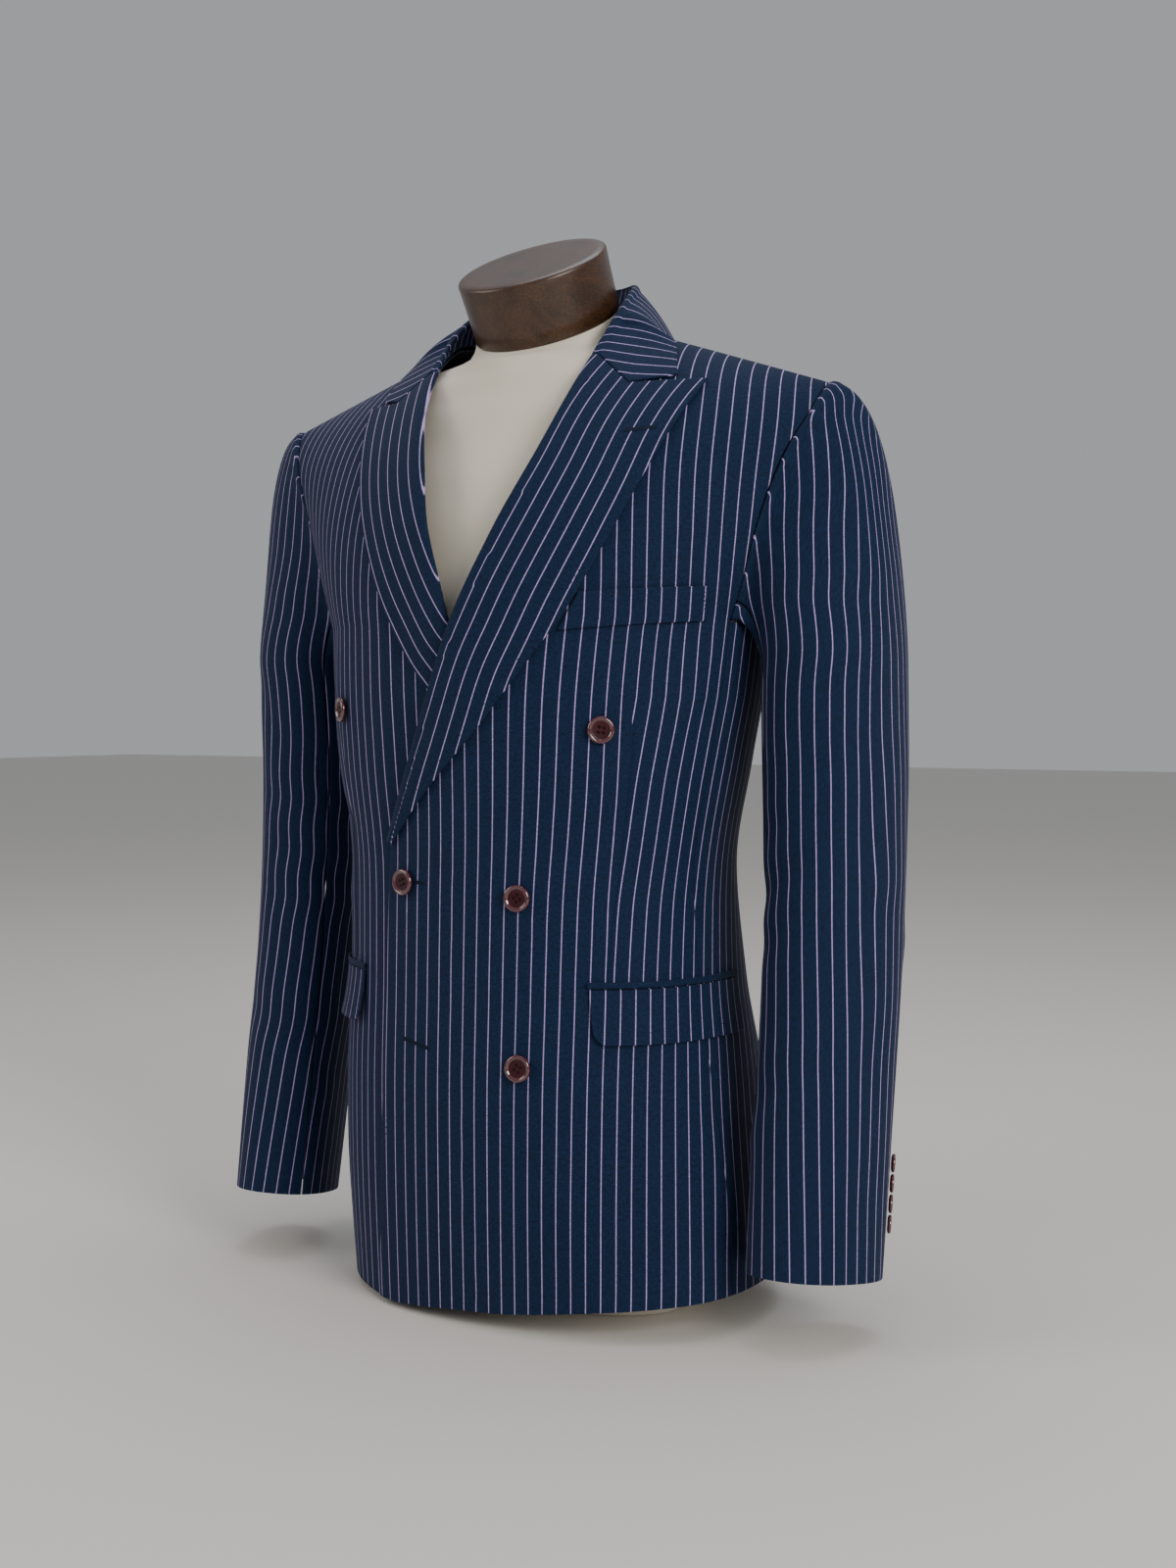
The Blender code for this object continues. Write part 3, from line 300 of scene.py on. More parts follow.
def coat(phi, h):
    """Outer face of the jacket: a squared ellipse at each height, phi degrees round from the
    front; above the chest h adds a thousandth of the angle by which it closes to the shoulder."""
    phi, h = np.broadcast_arrays(np.asarray(phi, float), np.asarray(h, float))
    z = np.minimum(h, CHEST)
    tau = np.radians(np.maximum(h - CHEST, 0) * 1000)
    front = np.abs(phi) <= 90
    a = np.where(h > CHEST, curve(UPPER, np.degrees(tau)), curve(BODY, z, 2))
    power = 2 / np.where(front, curve(BODY, z, 5), BACK_SQUARE)
    p = np.radians(np.abs(phi))
    s, c = np.abs(np.sin(p)) ** power, np.abs(np.cos(p)) ** power
    x = curve(BODY, z, 1) + np.sign(phi) * a * s
    y = SIDE_Y + (np.where(front, curve(BODY, z, 3), curve(BODY, z, 4)) - SIDE_Y) * c
    ridge = np.where(front, RIDGE_Y, RIDGE_Y + NECK_DEEP * neck_curve(x))
    roll = np.cos(np.minimum(tau, 1.5705)) ** np.where(front, FRONT_ROLL, BACK_ROLL)
    y = np.where(h > CHEST, ridge + (y - ridge) * roll, y)
    top = curve(SHOULDER, np.abs(x))
    low = z + curve(HEM, phi) * np.clip(1 - z / 0.12, 0, 1) ** 2
    z = np.where(h > CHEST, CHEST + (top - CHEST) * np.sin(tau), low)
    return np.stack([x, y, z], -1)


def coat_normal(phi, h):
    """Outward normal of coat, from differences that keep off its lower and upper end."""
    phi, h = np.broadcast_arrays(np.asarray(phi, float), np.asarray(h, float))
    hh = np.clip(h, 0.0015, CHEST + 0.0885)
    du = coat(phi + 0.4, hh) - coat(phi - 0.4, hh)
    dv = coat(phi, np.minimum(hh + 0.0008, CHEST + 0.0895)) - coat(phi, hh - 0.0008)
    return unit(np.cross(du, dv))


def place(x, z, back=False):
    """The phi and h of the jacket's point at this x and height."""
    x, z = np.broadcast_arrays(np.asarray(x, float), np.asarray(z, float))
    top = curve(SHOULDER, np.abs(x))
    tau = np.degrees(np.arcsin(np.clip((z - CHEST) / (top - CHEST), 0, 1)))
    h = np.where(z > CHEST, CHEST + tau / 1000, z)
    zz = np.minimum(z, CHEST)
    a = np.where(z > CHEST, curve(UPPER, tau), curve(BODY, zz, 2))
    power = (BACK_SQUARE if back else curve(BODY, zz, 5)) / 2
    dx = x - curve(BODY, zz, 1)
    p = np.degrees(np.arcsin(np.clip(np.abs(dx) / a, 0, 1) ** power)) * np.sign(dx)
    return (np.sign(dx + 1e-9) * (180 - np.abs(p)) if back else p), h


def crease(turn, height, row, scale, fade, wander=0.0):
    """Soft fold: a bell across the line between its two ends, fading at both. Scale is metres for
    one unit of turn, and the line sways by wander of the fold's half width."""
    t0, h0, t1, h1, half, depth = row
    run = np.array([(t1 - t0) * scale, h1 - h0])
    long = np.hypot(*run)
    ax, ay = (turn - t0) * scale, height - h0
    t = (ax * run[0] + ay * run[1]) / long ** 2
    off = np.abs(ax * run[1] - ay * run[0]) / long + wander * half * np.sin(9 * t)
    ends = step(t / fade[0] + fade[1]) * step((1 - t) / fade[0] + fade[1])
    return depth * np.exp(-(off / half) ** 2) * ends


def folds(phi, h):
    """Sum of the body's soft folds."""
    return sum(crease(phi, h, row, METRES_PER_DEGREE, (0.35, 0.3), 0.15) for row in FOLDS)


def under(phi, h):
    """How far the right front is moved in where the left front covers it."""
    x = coat(phi, h)[..., 0]
    z = np.minimum(h, 0.59)
    lap = OVERLAP_IN * step((x + 0.150) / 0.060) * (1 - step((z - 0.505) / 0.03))
    room = LAPEL_ROOM * step((x + 0.075) / 0.040) * step((z - 0.300) / 0.035) * (1 - step((z - 0.500) / 0.02))
    return -(lap + room)


def fine(length, pace, ends=CLOSE):
    """Shares from 0 to 1 at an even pace in metres, closer together near both ends."""
    e = np.array(ends) / length
    n = max(int(length * (1 - 2 * e[-1]) / pace), 3)
    return np.concatenate([[0], e[:-1], np.linspace(e[-1], 1 - e[-1], n), 1 - e[:-1][::-1], [1]])


def shell(name, outer, normal, wall, uv, mats, uv_after=None, split=None, groove=0.0):
    """Closed thin piece of cloth: the outer grid, and the same grid moved in by the wall. Near
    every border the two faces draw together on a quarter circle, so that the edge is round; groove
    sinks the first and last columns where they are sewn. From column split on, the face corners
    take uv_after."""
    r, c = outer.shape[:2]
    run_c = np.linalg.norm(np.diff(outer, axis=1), axis=2)
    run_r = np.linalg.norm(np.diff(outer, axis=0), axis=2)
    from_c = np.concatenate([np.zeros((r, 1)), np.cumsum(run_c, 1)], 1)
    from_r = np.concatenate([np.zeros((1, c)), np.cumsum(run_r, 0)], 0)
    side_off = np.minimum(from_c, from_c[:, -1:] - from_c)
    off = np.minimum(side_off, np.minimum(from_r, from_r[-1:] - from_r))
    t = np.clip(off / (wall * 0.55), 0, 1)
    draw = (1 - np.sqrt(1 - (1 - t) ** 2)) * wall / 2
    sink = groove * np.exp(-(side_off / 0.0016) ** 2)
    a = outer - normal * (draw + sink)[..., None]
    b = outer - normal * (wall - draw + sink)[..., None]
    ia = np.arange(r * c).reshape(r, c)
    inside = np.zeros((r, c), bool)
    inside[1:-1, 1:-1] = True
    ib = ia.copy()
    ib[inside] = r * c + np.arange(inside.sum())
    verts = np.concatenate([a.reshape(-1, 3), b[inside]])
    quad = lambda g: np.stack([g[:-1, :-1], g[:-1, 1:], g[1:, 1:], g[1:, :-1]], -1).reshape(-1, 4)
    first, second = quad(ia), quad(ib)[:, ::-1]
    flat = uv.reshape(-1, 2)
    pairs = flat[first]
    if split is not None:
        late = np.tile(np.arange(c - 1) >= split, r - 1)
        pairs = np.where(late[:, None, None], uv_after.reshape(-1, 2)[first], pairs)
    # the sign of the first face decides which way round all faces go
    m0, m1 = r // 2, c // 2
    e0, e1 = outer[m0, m1 + 1] - outer[m0, m1], outer[m0 + 1, m1] - outer[m0, m1]
    faces = np.concatenate([first, second])
    corners = np.concatenate([pairs, flat[quad(ia)[:, ::-1]]])
    if np.dot(np.cross(e0, e1), normal[m0, m1]) < 0:
        faces, corners = faces[:, ::-1], corners[:, ::-1]
    index = np.concatenate([np.zeros(len(first)), np.ones(len(second))]) if len(mats) > 1 else None
    return put(name, verts, faces, mats, corners, index)


def cut(piece, node, flat, area, held="hung", rests_on=("form_body",)):
    """Attach a sewn piece to the root body, as the form is, and hide the imported part of its node."""
    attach(piece, "root")
    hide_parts(node)


DART_FOOT, DART_FULL = DART_TAKE[0][0], DART_TAKE[1][0]
LOW = np.sort(np.concatenate([[0, *CLOSE, DART_FOOT, DART_FULL], np.linspace(0.006, CHEST, 100)]))
CLOSING = np.concatenate([np.linspace(1.3, 88.9, 66), [89.3, 89.6, 89.8, 89.92, 90.0]])
ROWS = np.concatenate([LOW, CHEST + CLOSING / 1000])
TOP_H = CHEST + 0.090       # h on the shoulder ridge, at 90 degrees of closing


def metres_round(phi, h):
    """Distance round the jacket, along each row of equal h, from its middle line x = 0."""
    dense = np.linspace(-180, 180, 361)
    out = np.empty_like(phi)
    for k, row in enumerate(h[:, 0]):
        pts = coat(dense, row)
        s = run_along(pts)
        front = np.abs(dense) < 89
        zero = np.interp(0, pts[front, 0], s[front])
        out[k] = np.interp(phi[k], dense, s) - zero
    return out


def up_the_cloth(points):
    """Distance up each column of a grid of points."""
    run = np.linalg.norm(np.diff(points, axis=0), axis=2)
    return np.concatenate([np.zeros((1, points.shape[1])), np.cumsum(run, 0)], 0)


def grain(phi, h, side, beyond=None, taken=DART_TAKE):
    """Pinstripe coordinate of a front or side: metres round from the middle, less the lean that
    waist and chest give the cloth, and with the cloth taken in by the dart added beyond it."""
    p = coat(phi, h)
    lean = curve(LEAN, p[..., 2]) * (0.3 + 0.7 * step((side * p[..., 0] - 0.01) / 0.10))
    if beyond is None:
        beyond = side * p[..., 0] > curve(DART, np.minimum(p[..., 2], 0.70))
    take = np.where(beyond, curve(taken, p[..., 2]), 0)
    return metres_round(phi, h) + side * (take - lean) + STRIPE_SHIFT[side]


def degrees_for(phi, h, metres):
    """The turn in phi that goes this far round the jacket."""
    return metres / np.linalg.norm(coat(phi + 0.5, h) - coat(phi - 0.5, h), axis=-1)


def settle_top(phi, h, n, side, back):
    """Turn the normals at the shoulder seam and the neckline up and out, over the last 12 degrees."""
    w = step(((h - CHEST) * 1000 - 78) / 12)[..., None]
    x = np.abs(coat(phi, h)[..., 0])
    out = step((x - 0.03) / 0.05) if back else np.ones_like(x)
    top = np.stack([side * 0.36 * out, 0.75 * (1 - out), np.ones_like(x)], -1)
    return unit(n * (1 - w) + unit(top) * w)


def side_seam(side, back):
    """For every row, the phi of a side seam and, above the chest, of the armhole."""
    az = np.linspace(CHEST, ARMHOLE[-1][0], 90)
    ap, ah = place(side * curve(ARMHOLE, az, 1 + back), az, back=back)
    ah[-1] = TOP_H
    return np.where(ROWS <= CHEST, side * SIDE_SEAMS[back], np.interp(ROWS, ah, ap))


def front_bounds(side):
    """For every row, the phi of a front's free edge and of its side seam or armhole."""
    roll, edge = ROLL[side], EDGE[side]
    zs = np.linspace(roll[0][0], roll[-1][0], 120)
    rp, rh = place(curve(roll, zs), zs)
    neck_p, _ = place(side * NECK_HALF, SHOULDER[2][1] - 0.0002)
    rp, rh = np.append(rp, neck_p), np.append(rh, TOP_H)
    low_p, _ = place(curve(edge, ROWS), np.minimum(ROWS, roll[0][0]))
    free = np.where(ROWS <= roll[0][0], low_p, np.interp(ROWS, rh, rp))
    free = free + side * np.where(ROWS > roll[0][0], degrees_for(free, ROWS, SEAM), 0)
    seam = side_seam(side, False)
    return free, seam - side * degrees_for(seam, ROWS, SEAM / 2)


# cut size and area of each piece
FLAT_FRONT = {1: ((0.320, 0.794), 0.165), -1: ((0.320, 0.778), 0.161)}
FLAT_SIDE = {1: ((0.145, 0.481), 0.051), -1: ((0.121, 0.495), 0.051)}
FLAT_BACK = ((0.275, 0.770), 0.136)
armhole = {}
for side, tag in SIDES:
    free, seam = front_bounds(side)
    dart_z = np.minimum(coat(free, ROWS)[..., 2], 0.70)
    for _ in range(3):
        dart, _h = place(side * curve(DART, dart_z), dart_z)
        dart_z = coat(dart, ROWS)[..., 2]
    a, b = fine(0.17, 0.0042), fine(0.11, 0.0042)
    phi = np.concatenate([free[:, None] * (1 - a) + dart[:, None] * a,
                          (dart[:, None] * (1 - b) + seam[:, None] * b)[:, 1:]], 1)
    h = np.repeat(ROWS[:, None], phi.shape[1], 1)
    p, n = coat(phi, h), settle_top(phi, h, coat_normal(phi, h), side, False)
    p[-1, :, 1] -= SEAM / 2
    armhole[side, "front"] = (p[:, -1] + n[:, -1] * (under(phi, h)[:, -1:] if side < 0 else 0), n[:, -1],
                              phi[:, -1], h[:, -1])
    take = curve(DART_TAKE, p[..., 2]) * step((p[..., 2] - DART_FULL) / 0.004)
    near_dart = np.exp(-((phi - dart[:, None]) / degrees_for(dart, ROWS, 0.0011)[:, None]) ** 2)
    press = folds(phi, h) - 0.0007 * near_dart * np.clip(take / 0.004, 0, 1)
    press = press * step((phi - free[:, None]) * side / 6)
    p = p + n * press[..., None]
    if side < 0:
        p = p + n * under(phi, h)[..., None]
    v = up_the_cloth(p)
    uv, beyond = (np.stack([grain(phi, h, side, past), v], -1) for past in (False, True))
    piece = shell("cloth_front_" + tag, p, n, FRONT_CLOTH, uv, [pinstripe_wool, satin],
                  uv_after=beyond, split=len(a) - 1, groove=GROOVE)
    cut(piece, "front_" + tag, *FLAT_FRONT[side])

side_top = {}
for side, tag in SIDES:
    s0, s1 = side * SIDE_SEAMS[0], side * SIDE_SEAMS[1]
    t = fine(0.13, 0.0042)[None, :]
    first = s0 + side * degrees_for(s0, LOW, SEAM / 2)
    last = s1 - side * degrees_for(s1, LOW, SEAM / 2)
    phi = first[:, None] * (1 - t) + last[:, None] * t
    h = np.repeat(LOW[:, None], phi.shape[1], 1)
    p, n = coat(phi, h), coat_normal(phi, h)
    side_top[side] = (p[-1], n[-1])
    p = p + n * folds(phi, h)[..., None]
    uv = np.stack([grain(phi, h, side, True, SIDE_TAKE), up_the_cloth(p)], -1)
    cut(shell("cloth_side_" + tag, p, n, CLOTH, uv, [pinstripe_wool, satin], groove=GROOVE),
        "side_" + tag, *FLAT_SIDE[side])

for side, tag in SIDES:
    seam = side_seam(side, True)
    seam = seam + side * degrees_for(seam, ROWS, SEAM / 2)
    t = fine(0.19, 0.0045)[None, :]
    phi = seam[:, None] * (1 - t) + side * 180.0 * t
    h = np.repeat(ROWS[:, None], phi.shape[1], 1)
    p, n = coat(phi, h), coat_normal(phi, h)
    p[:, -1, 0] = side * SEAM / 2 + curve(BODY, np.minimum(ROWS, CHEST), 1)
    n[:, -1, 0] = 0
    n = settle_top(phi, h, unit(n), side, True)
    p[-1, :, 1] += SEAM / 2
    armhole[side, "back"] = (p[:, 0], n[:, 0], phi[:, 0], h[:, 0])
    p = p + n * folds(phi, h)[..., None]
    reach = metres_round(phi, h)
    uv = np.stack([reach - reach[:, -1:] + side * 0.25 * PINSTRIPE_GAP, up_the_cloth(p)], -1)
    cut(shell("cloth_back_" + tag, p, n, CLOTH, uv, [pinstripe_wool, satin], groove=GROOVE),
        "back_" + tag, *FLAT_BACK)

# --- Lapels ------------------------------------------------------------------------------
# Peak lapels: the turned-back top of each front, faced and canvassed, rolled on a soft crease. The
# left one's pinstripes follow its roll line, the right one's follow its outer edge.
LAPEL_LIFT = 0.0009
# x and height of the outer edge; then share along the gorge, x and height
OUTER = {1: [(-0.0545, 0.3380), (-0.0240, 0.3730), (0.0300, 0.4290), (0.0722, 0.4840),
             (0.0880, 0.5077), (0.1190, 0.5700), (0.1385, 0.6200), (0.1563, 0.6717)],
         -1: [(0.0545, 0.3380), (0.0240, 0.3730), (-0.0126, 0.4430), (-0.0385, 0.4720),
              (-0.0570, 0.5000), (-0.0738, 0.5318), (-0.0961, 0.5789), (-0.1177, 0.6350), (-0.1330, 0.6716)]}
GORGE = {1: [(0.00, 0.07145, 0.6949), (0.40, 0.1038, 0.6697), (1.00, 0.1563, 0.6717)],
         -1: [(0.00, -0.0748, 0.69425), (0.40, -0.0970, 0.6717), (1.00, -0.1330, 0.6716)]}
FLAT_LAPEL = {1: ((0.093, 0.427), 0.026), -1: ((0.068, 0.410), 0.020)}
# section of the roll: out past the roll line, up
ROLL_OVER = [(0.0026, -0.0016), (0.0033, 0.0002), (0.0031, 0.0018), (0.0018, 0.0030)]
STRIPE_START = {1: 0.0, -1: 0.0028}       # distance of one pinstripe from the guide line
LEAF_STRIPE = [  # height, x of one pinstripe of the left lapel
    (0.338, -0.0550), (0.385, -0.0340), (0.440, -0.0115), (0.479, 0.0030), (0.509, 0.0172), (0.535, 0.0292),
    (0.558, 0.0400), (0.584, 0.0510), (0.617, 0.0622), (0.654, 0.0705), (0.684, 0.0790), (0.702, 0.0860)]


def on_front(x, z, side, lift=0.0):
    """Point and normal of a front's face at this x and height, moved out by lift."""
    phi, h = place(x, z)
    n, p = coat_normal(phi, h), coat(phi, h)
    if side < 0:
        p = p + n * under(phi, h)[..., None]
    return p + n * np.asarray(lift)[..., None], n


def spaced(table, share):
    """Points at these shares of the way along a smooth curve through a table of x and height."""
    s = run_along(table)
    along = np.column_stack([s, table])
    return curve(along, share * s[-1], 1), curve(along, share * s[-1], 2)


def through(points, count):
    """Smooth lines through matching points: Catmull-Rom over axis 1, count new points in all."""
    before, after = points[:, :1] * 2 - points[:, 1:2], points[:, -1:] * 2 - points[:, -2:-1]
    p = np.concatenate([before, points, after], 1)
    t = np.linspace(0, points.shape[1] - 1, count)
    i = np.minimum(t.astype(int), points.shape[1] - 2)
    f = (t - i)[None, :, None]
    a, b, c, d = (p[:, i + k] for k in range(4))
    return 0.5 * (2 * b + (c - a) * f + (2 * a - 5 * b + 4 * c - d) * f ** 2
                  + (3 * b - a - 3 * c + d) * f ** 3)


def grid_normals(p, like):
    """Normals of a grid of points, turned to the side of like: one normal at the grid's middle, or
    one for each point."""
    n = unit(np.cross(np.gradient(p, axis=1), np.gradient(p, axis=0)))
    if np.ndim(like) == 1:
        return n * np.sign(np.dot(n[p.shape[0] // 2, p.shape[1] // 2], like))
    return n * np.sign((n * like).sum(-1, keepdims=True))


def from_line(points, line):
    """Distance of each point from the nearest point of a line."""
    flat = points.reshape(-1, 3)
    near = np.concatenate([np.linalg.norm(flat[k:k + 2000, None] - line[None], axis=-1).min(1)
                           for k in range(0, len(flat), 2000)])
    return near.reshape(points.shape[:-1])


lapel_edge = {}
for side, tag in SIDES:
    roll, gorge = ROLL[side], np.array(GORGE[side])
    r = fine(0.40, 0.0040)
    rz = roll[0][0] + 0.002 + (gorge[0, 2] - roll[0][0] - 0.002) * r
    rx = curve(roll, rz)
    ex, ez = spaced(OUTER[side], r)
    f = np.unique(np.concatenate([[0.03, 0.07, 0.12], np.linspace(0.16, 0.94, 26),
                                  1 - fine(1, 0.2)[:6] * 10, [0.40, 1.0]]))[None]
    x = rx[:, None] * (1 - f) + ex[:, None] * f
    z = rz[:, None] * (1 - f) + ez[:, None] * f
    pull = (r ** 5)[:, None]
    x = x + pull * (np.interp(f, gorge[:, 0], gorge[:, 1]) - x[-1:])
    z = z + pull * (np.interp(f, gorge[:, 0], gorge[:, 2]) - z[-1:])
    base, n = on_front(x, z, side)
    root, rn = on_front(rx, rz, side)
    out = unit(root - base[:, 3])
    out = unit(out - rn * (out * rn).sum(-1, keepdims=True))
    belly = 0.0016 * np.sin(pi * f) * (1 - 0.6 * r[:, None]) + 0.0004 * f ** 6
    rise = LAPEL_CLOTH + LAPEL_LIFT + 0.0006 * (1 - f) ** 2 + belly * step((1 - r[:, None]) / 0.15)
    leaf = base + n * rise[..., None]
    turn = np.stack([root + out * a + rn * b for a, b in ROLL_OVER], 1)
    turn = through(np.concatenate([turn, leaf[:, :1]], 1), 18)
    p = np.concatenate([turn[:, :-1], leaf], 1)
    lapel_edge[side] = (leaf, n)
    gz = np.linspace(0.338, 0.700, 60)
    guide = on_front(curve(LEAF_STRIPE, gz), gz, 1, 0.0032)[0] if side > 0 else leaf[:, -1]
    far = from_line(p, through(guide[None], 600)[0])
    if side > 0:
        far = far * np.sign(p[..., 0] - curve(LEAF_STRIPE, p[..., 2]))
    u = far - STRIPE_START[side] + 0.5 * PINSTRIPE_GAP
    uv = np.stack([u, np.repeat(up_the_cloth(p)[:, -1:], p.shape[1], 1)], -1)
    piece = shell("cloth_lapel_" + tag, p, grid_normals(p, n[len(r) // 2, 10]), LAPEL_CLOTH, uv,
                  [pinstripe_wool])
    cut(piece, "lapel_" + tag, *FLAT_LAPEL[side], held="folded", rests_on=["cloth_front_" + tag])

# --- Collar ------------------------------------------------------------------------------
# The collar stands 4 cm round the neck, folds over and falls onto the backs and the shoulders; its
# ends are sewn to the lapels at the gorge. Its pinstripes run across it, from fold to edge.
STATIONS = [  # neck seam x, height; fold x, y, height; outer edge x, height; gorge to middle of the back
    (0.0704, 0.6968, 0.0690, -0.0625, 0.6972, 0.1350, 0.6752),
    (0.0728, 0.7115, 0.0700, -0.0400, 0.7230, 0.1200, 0.7020),
    (0.0748, 0.7226, 0.0690, -0.0180, 0.7430, 0.1050, 0.7116),
    (0.0690, 0.7245, 0.0645, 0.0050, 0.7590, 0.0945, 0.7105),
    (0.0520, 0.7295, 0.0520, 0.0290, 0.7670, 0.0700, 0.7140),
    (0.0290, 0.7340, 0.0300, 0.0480, 0.7700, 0.0390, 0.7205),
    (0.0000, 0.7370, 0.0000, 0.0550, 0.7712, 0.0000, 0.7225)]
STATIONS_RIGHT = [(0.0743, 0.6968, 0.0722, -0.0610, 0.6972, 0.1190, 0.6756),
                  (0.0747, 0.7115, 0.0715, -0.0400, 0.7230, 0.1180, 0.7005)]
GORGE_DROP = {1: 0.0155, -1: 0.0132}    # how far the collar's ends are cut down to the gorge
GORGE_SHARE = 0.53                      # and where across the fall they are cut most
GUIDE_COLUMN = 42                       # column of the fall that the pinstripes are spaced along
FLAT_COLLAR = ((0.456, 0.095), 0.031)


def thread(points, k):
    """Smooth curve through rows of points at whole numbers of k (Hermite, mean slopes)."""
    p = np.asarray(points, float)
    slope = np.gradient(p, axis=0)
    i = np.clip(np.floor(k).astype(int), 0, len(p) - 2)
    t = (k - i)[:, None]
    return hermite(t, p[i], p[i + 1], slope[i], slope[i + 1])


def collar_half(side, k, fall, drop):
    """Outer points of half of the collar: stand, soft fold, then the fall to the outer edge, which
    lies on the front near the gorge and hangs free of the neck further round."""
    rows = np.array((STATIONS_RIGHT if side < 0 else STATIONS[:2]) + STATIONS[2:])
    count = len(rows)
    front = np.arange(count) <= 2
    neck, _ = on_front(side * rows[:, 0], rows[:, 1] - 0.0003, 1)
    back = np.stack([side * rows[:, 0], RIDGE_Y + NECK_DEEP * neck_curve(rows[:, 0]),
                     curve(SHOULDER, rows[:, 0])], -1)
    neck = np.where(front[:, None], neck, back)
    fold = np.stack([side * rows[:, 2], rows[:, 3], rows[:, 4]], -1)
    pf, hf = place(side * rows[:, 5], rows[:, 6])
    pb, hb = place(side * rows[:, 5], rows[:, 6], back=True)
    ph, h = np.where(front, pf, pb), np.where(front, hf, hb)
    norm = coat_normal(ph, h)
    norm[-1] = unit(norm[-1] * [0, 1, 1])
    edge = coat(ph, h) + norm * (LAPEL_CLOTH + np.where(front, 0.0012, 0.0024))[:, None]
    norm[2] = unit(norm[1] + norm[3])
    neck, fold, edge, norm = (thread(a, k) for a in (neck, fold, edge, norm))
    norm = unit(norm)
    fx, fz, ex, ez = thread(rows[:, [2, 4, 5, 6]], k).T
    flat = edge - fold
    flat[:, 2] = 0
    flat = unit(flat)
    w = step((1.5 - k) / 1.5)[:, None]
    t = fall[None, :]
    bump = np.minimum(t / GORGE_SHARE, (1 - t) / (1 - GORGE_SHARE))
    q = fold[:, None] + (edge - fold)[:, None] * t[..., None]
    q = q + norm[:, None] * ((0.0040 - 0.0018 * w) * np.sin(pi * t))[..., None]
    x = side * (fx[:, None] + (ex - fx)[:, None] * t)
    z = fz[:, None] + (ez - fz)[:, None] * t
    z = z - drop * bump * np.clip(1 - k / 0.9, 0, 1)[:, None] ** 2
    z = np.minimum(z, curve(SHOULDER, np.abs(x)) - 0.0005)
    on, _ = on_front(x, z, 1, LAPEL_CLOTH + LAPEL_LIFT + 0.0012 * (1 - t) ** 2)
    q = np.where(w[..., None] > 0, q * (1 - w[..., None]) + on * w[..., None], q)
    foot = neck + UP * 0.0010 - flat * 0.0010
    first = q[:, 0]
    stand = np.stack([foot, foot + (fold - foot) * 0.55, fold - UP * 0.0036 - flat * 0.0006, fold,
                      fold + (first - fold) * 0.40 + (UP + flat) * 0.0010, first], 1)
    return np.concatenate([through(stand, 30)[:, :-1], q], 1)


fall = np.unique(np.concatenate([np.linspace(0.15, 0.95, 26), [GORGE_SHARE], 1 - fine(1, 0.2)[:6] * 12]))
k = np.concatenate([[0, 0.004, 0.012, 0.025, 0.045], np.linspace(0.09, 6, 92)])
left, right = (collar_half(side, k, fall, GORGE_DROP[side]) for side in (1, -1))
p = np.concatenate([left, right[-2::-1]], 0)
n = grid_normals(p, np.array([0.0, 1.0, 0.3]))
# the pinstripes keep to the collar as it is before its ends are cut down to the gorge
left, right = (collar_half(side, k, fall, 0.0) for side in (1, -1))
whole = np.concatenate([left, right[-2::-1]], 0)
run = run_along(whole[:, GUIDE_COLUMN])
# and run level where the fall slopes down towards its point
GORGE_SLANT = [(0.0, 0.0175), (0.5, 0.0140), (1.0, 0.0060), (1.8, 0.0)]   # place along it, metres at the edge
across = np.concatenate([np.zeros(p.shape[1] - len(fall) - 8), np.linspace(0, fall[0], 9)[:-1], fall])
slant = curve(GORGE_SLANT, np.append(k, k[-2::-1]))[:, None] * across
ends = np.where(np.arange(len(p)) < len(k), -1, 1)[:, None]
shift = (1.15 * (whole - p)[..., 2] + slant) * ends
uv = np.stack([run[:, None] - run[len(k) - 1] + shift + 0.5 * PINSTRIPE_GAP,
               up_the_cloth(p.transpose(1, 0, 2)).T], -1)
collar = shell("cloth_collar", p, n, LAPEL_CLOTH, uv, [pinstripe_wool])
cut(collar, "collar", *FLAT_COLLAR, held="folded", rests_on=["cloth_back_left", "cloth_back_right"])

# --- Sleeves -----------------------------------------------------------------------------
# Two-piece sleeves, eased into the armholes and hung with the arm's slight bend; the cuffs are open
# and turned in. The pinstripes run down the arm from the shoulder.
SLEEVE = [  # height, centre x, centre y, half width, half depth, turn in degrees
    (0.044, 0.2335, -0.0410, 0.0380, 0.0540, 19.0), (0.150, 0.2335, -0.0240, 0.0400, 0.0560, 16.0),
    (0.250, 0.2325, -0.0060, 0.0415, 0.0590, 12.0), (0.340, 0.2310, 0.0040, 0.0440, 0.0620, 8.0),
    (0.410, 0.2295, 0.0080, 0.0465, 0.0650, 4.0), (0.470, 0.2290, 0.0080, 0.0470, 0.0675, 1.0)]
ELBOW = 0.470
CUFF_TILT = -0.16
HEAD_FULL = 0.085       # how far the padded sleeve head stands out before it turns down
FRONT_SEAM, HIND_SEAM = 0.37, 0.83       # shares round the sleeve: 0 outer, 0.25 front, 0.5 inner
ARM_FOLDS = [  # share round and height of both ends, half width, depth
    (0.20, 0.330, 0.42, 0.300, 0.013, -0.0026), (0.18, 0.290, 0.40, 0.268, 0.012, -0.0020),
    (0.16, 0.372, 0.36, 0.352, 0.012, -0.0016), (0.60, 0.430, 0.76, 0.380, 0.014, -0.0018),
    (0.10, 0.200, 0.34, 0.170, 0.014, -0.0014), (0.70, 0.300, 0.90, 0.262, 0.014, 0.0014),
    (0.14, 0.470, 0.26, 0.400, 0.013, -0.0015), (0.30, 0.150, 0.46, 0.120, 0.012, 0.0013)]
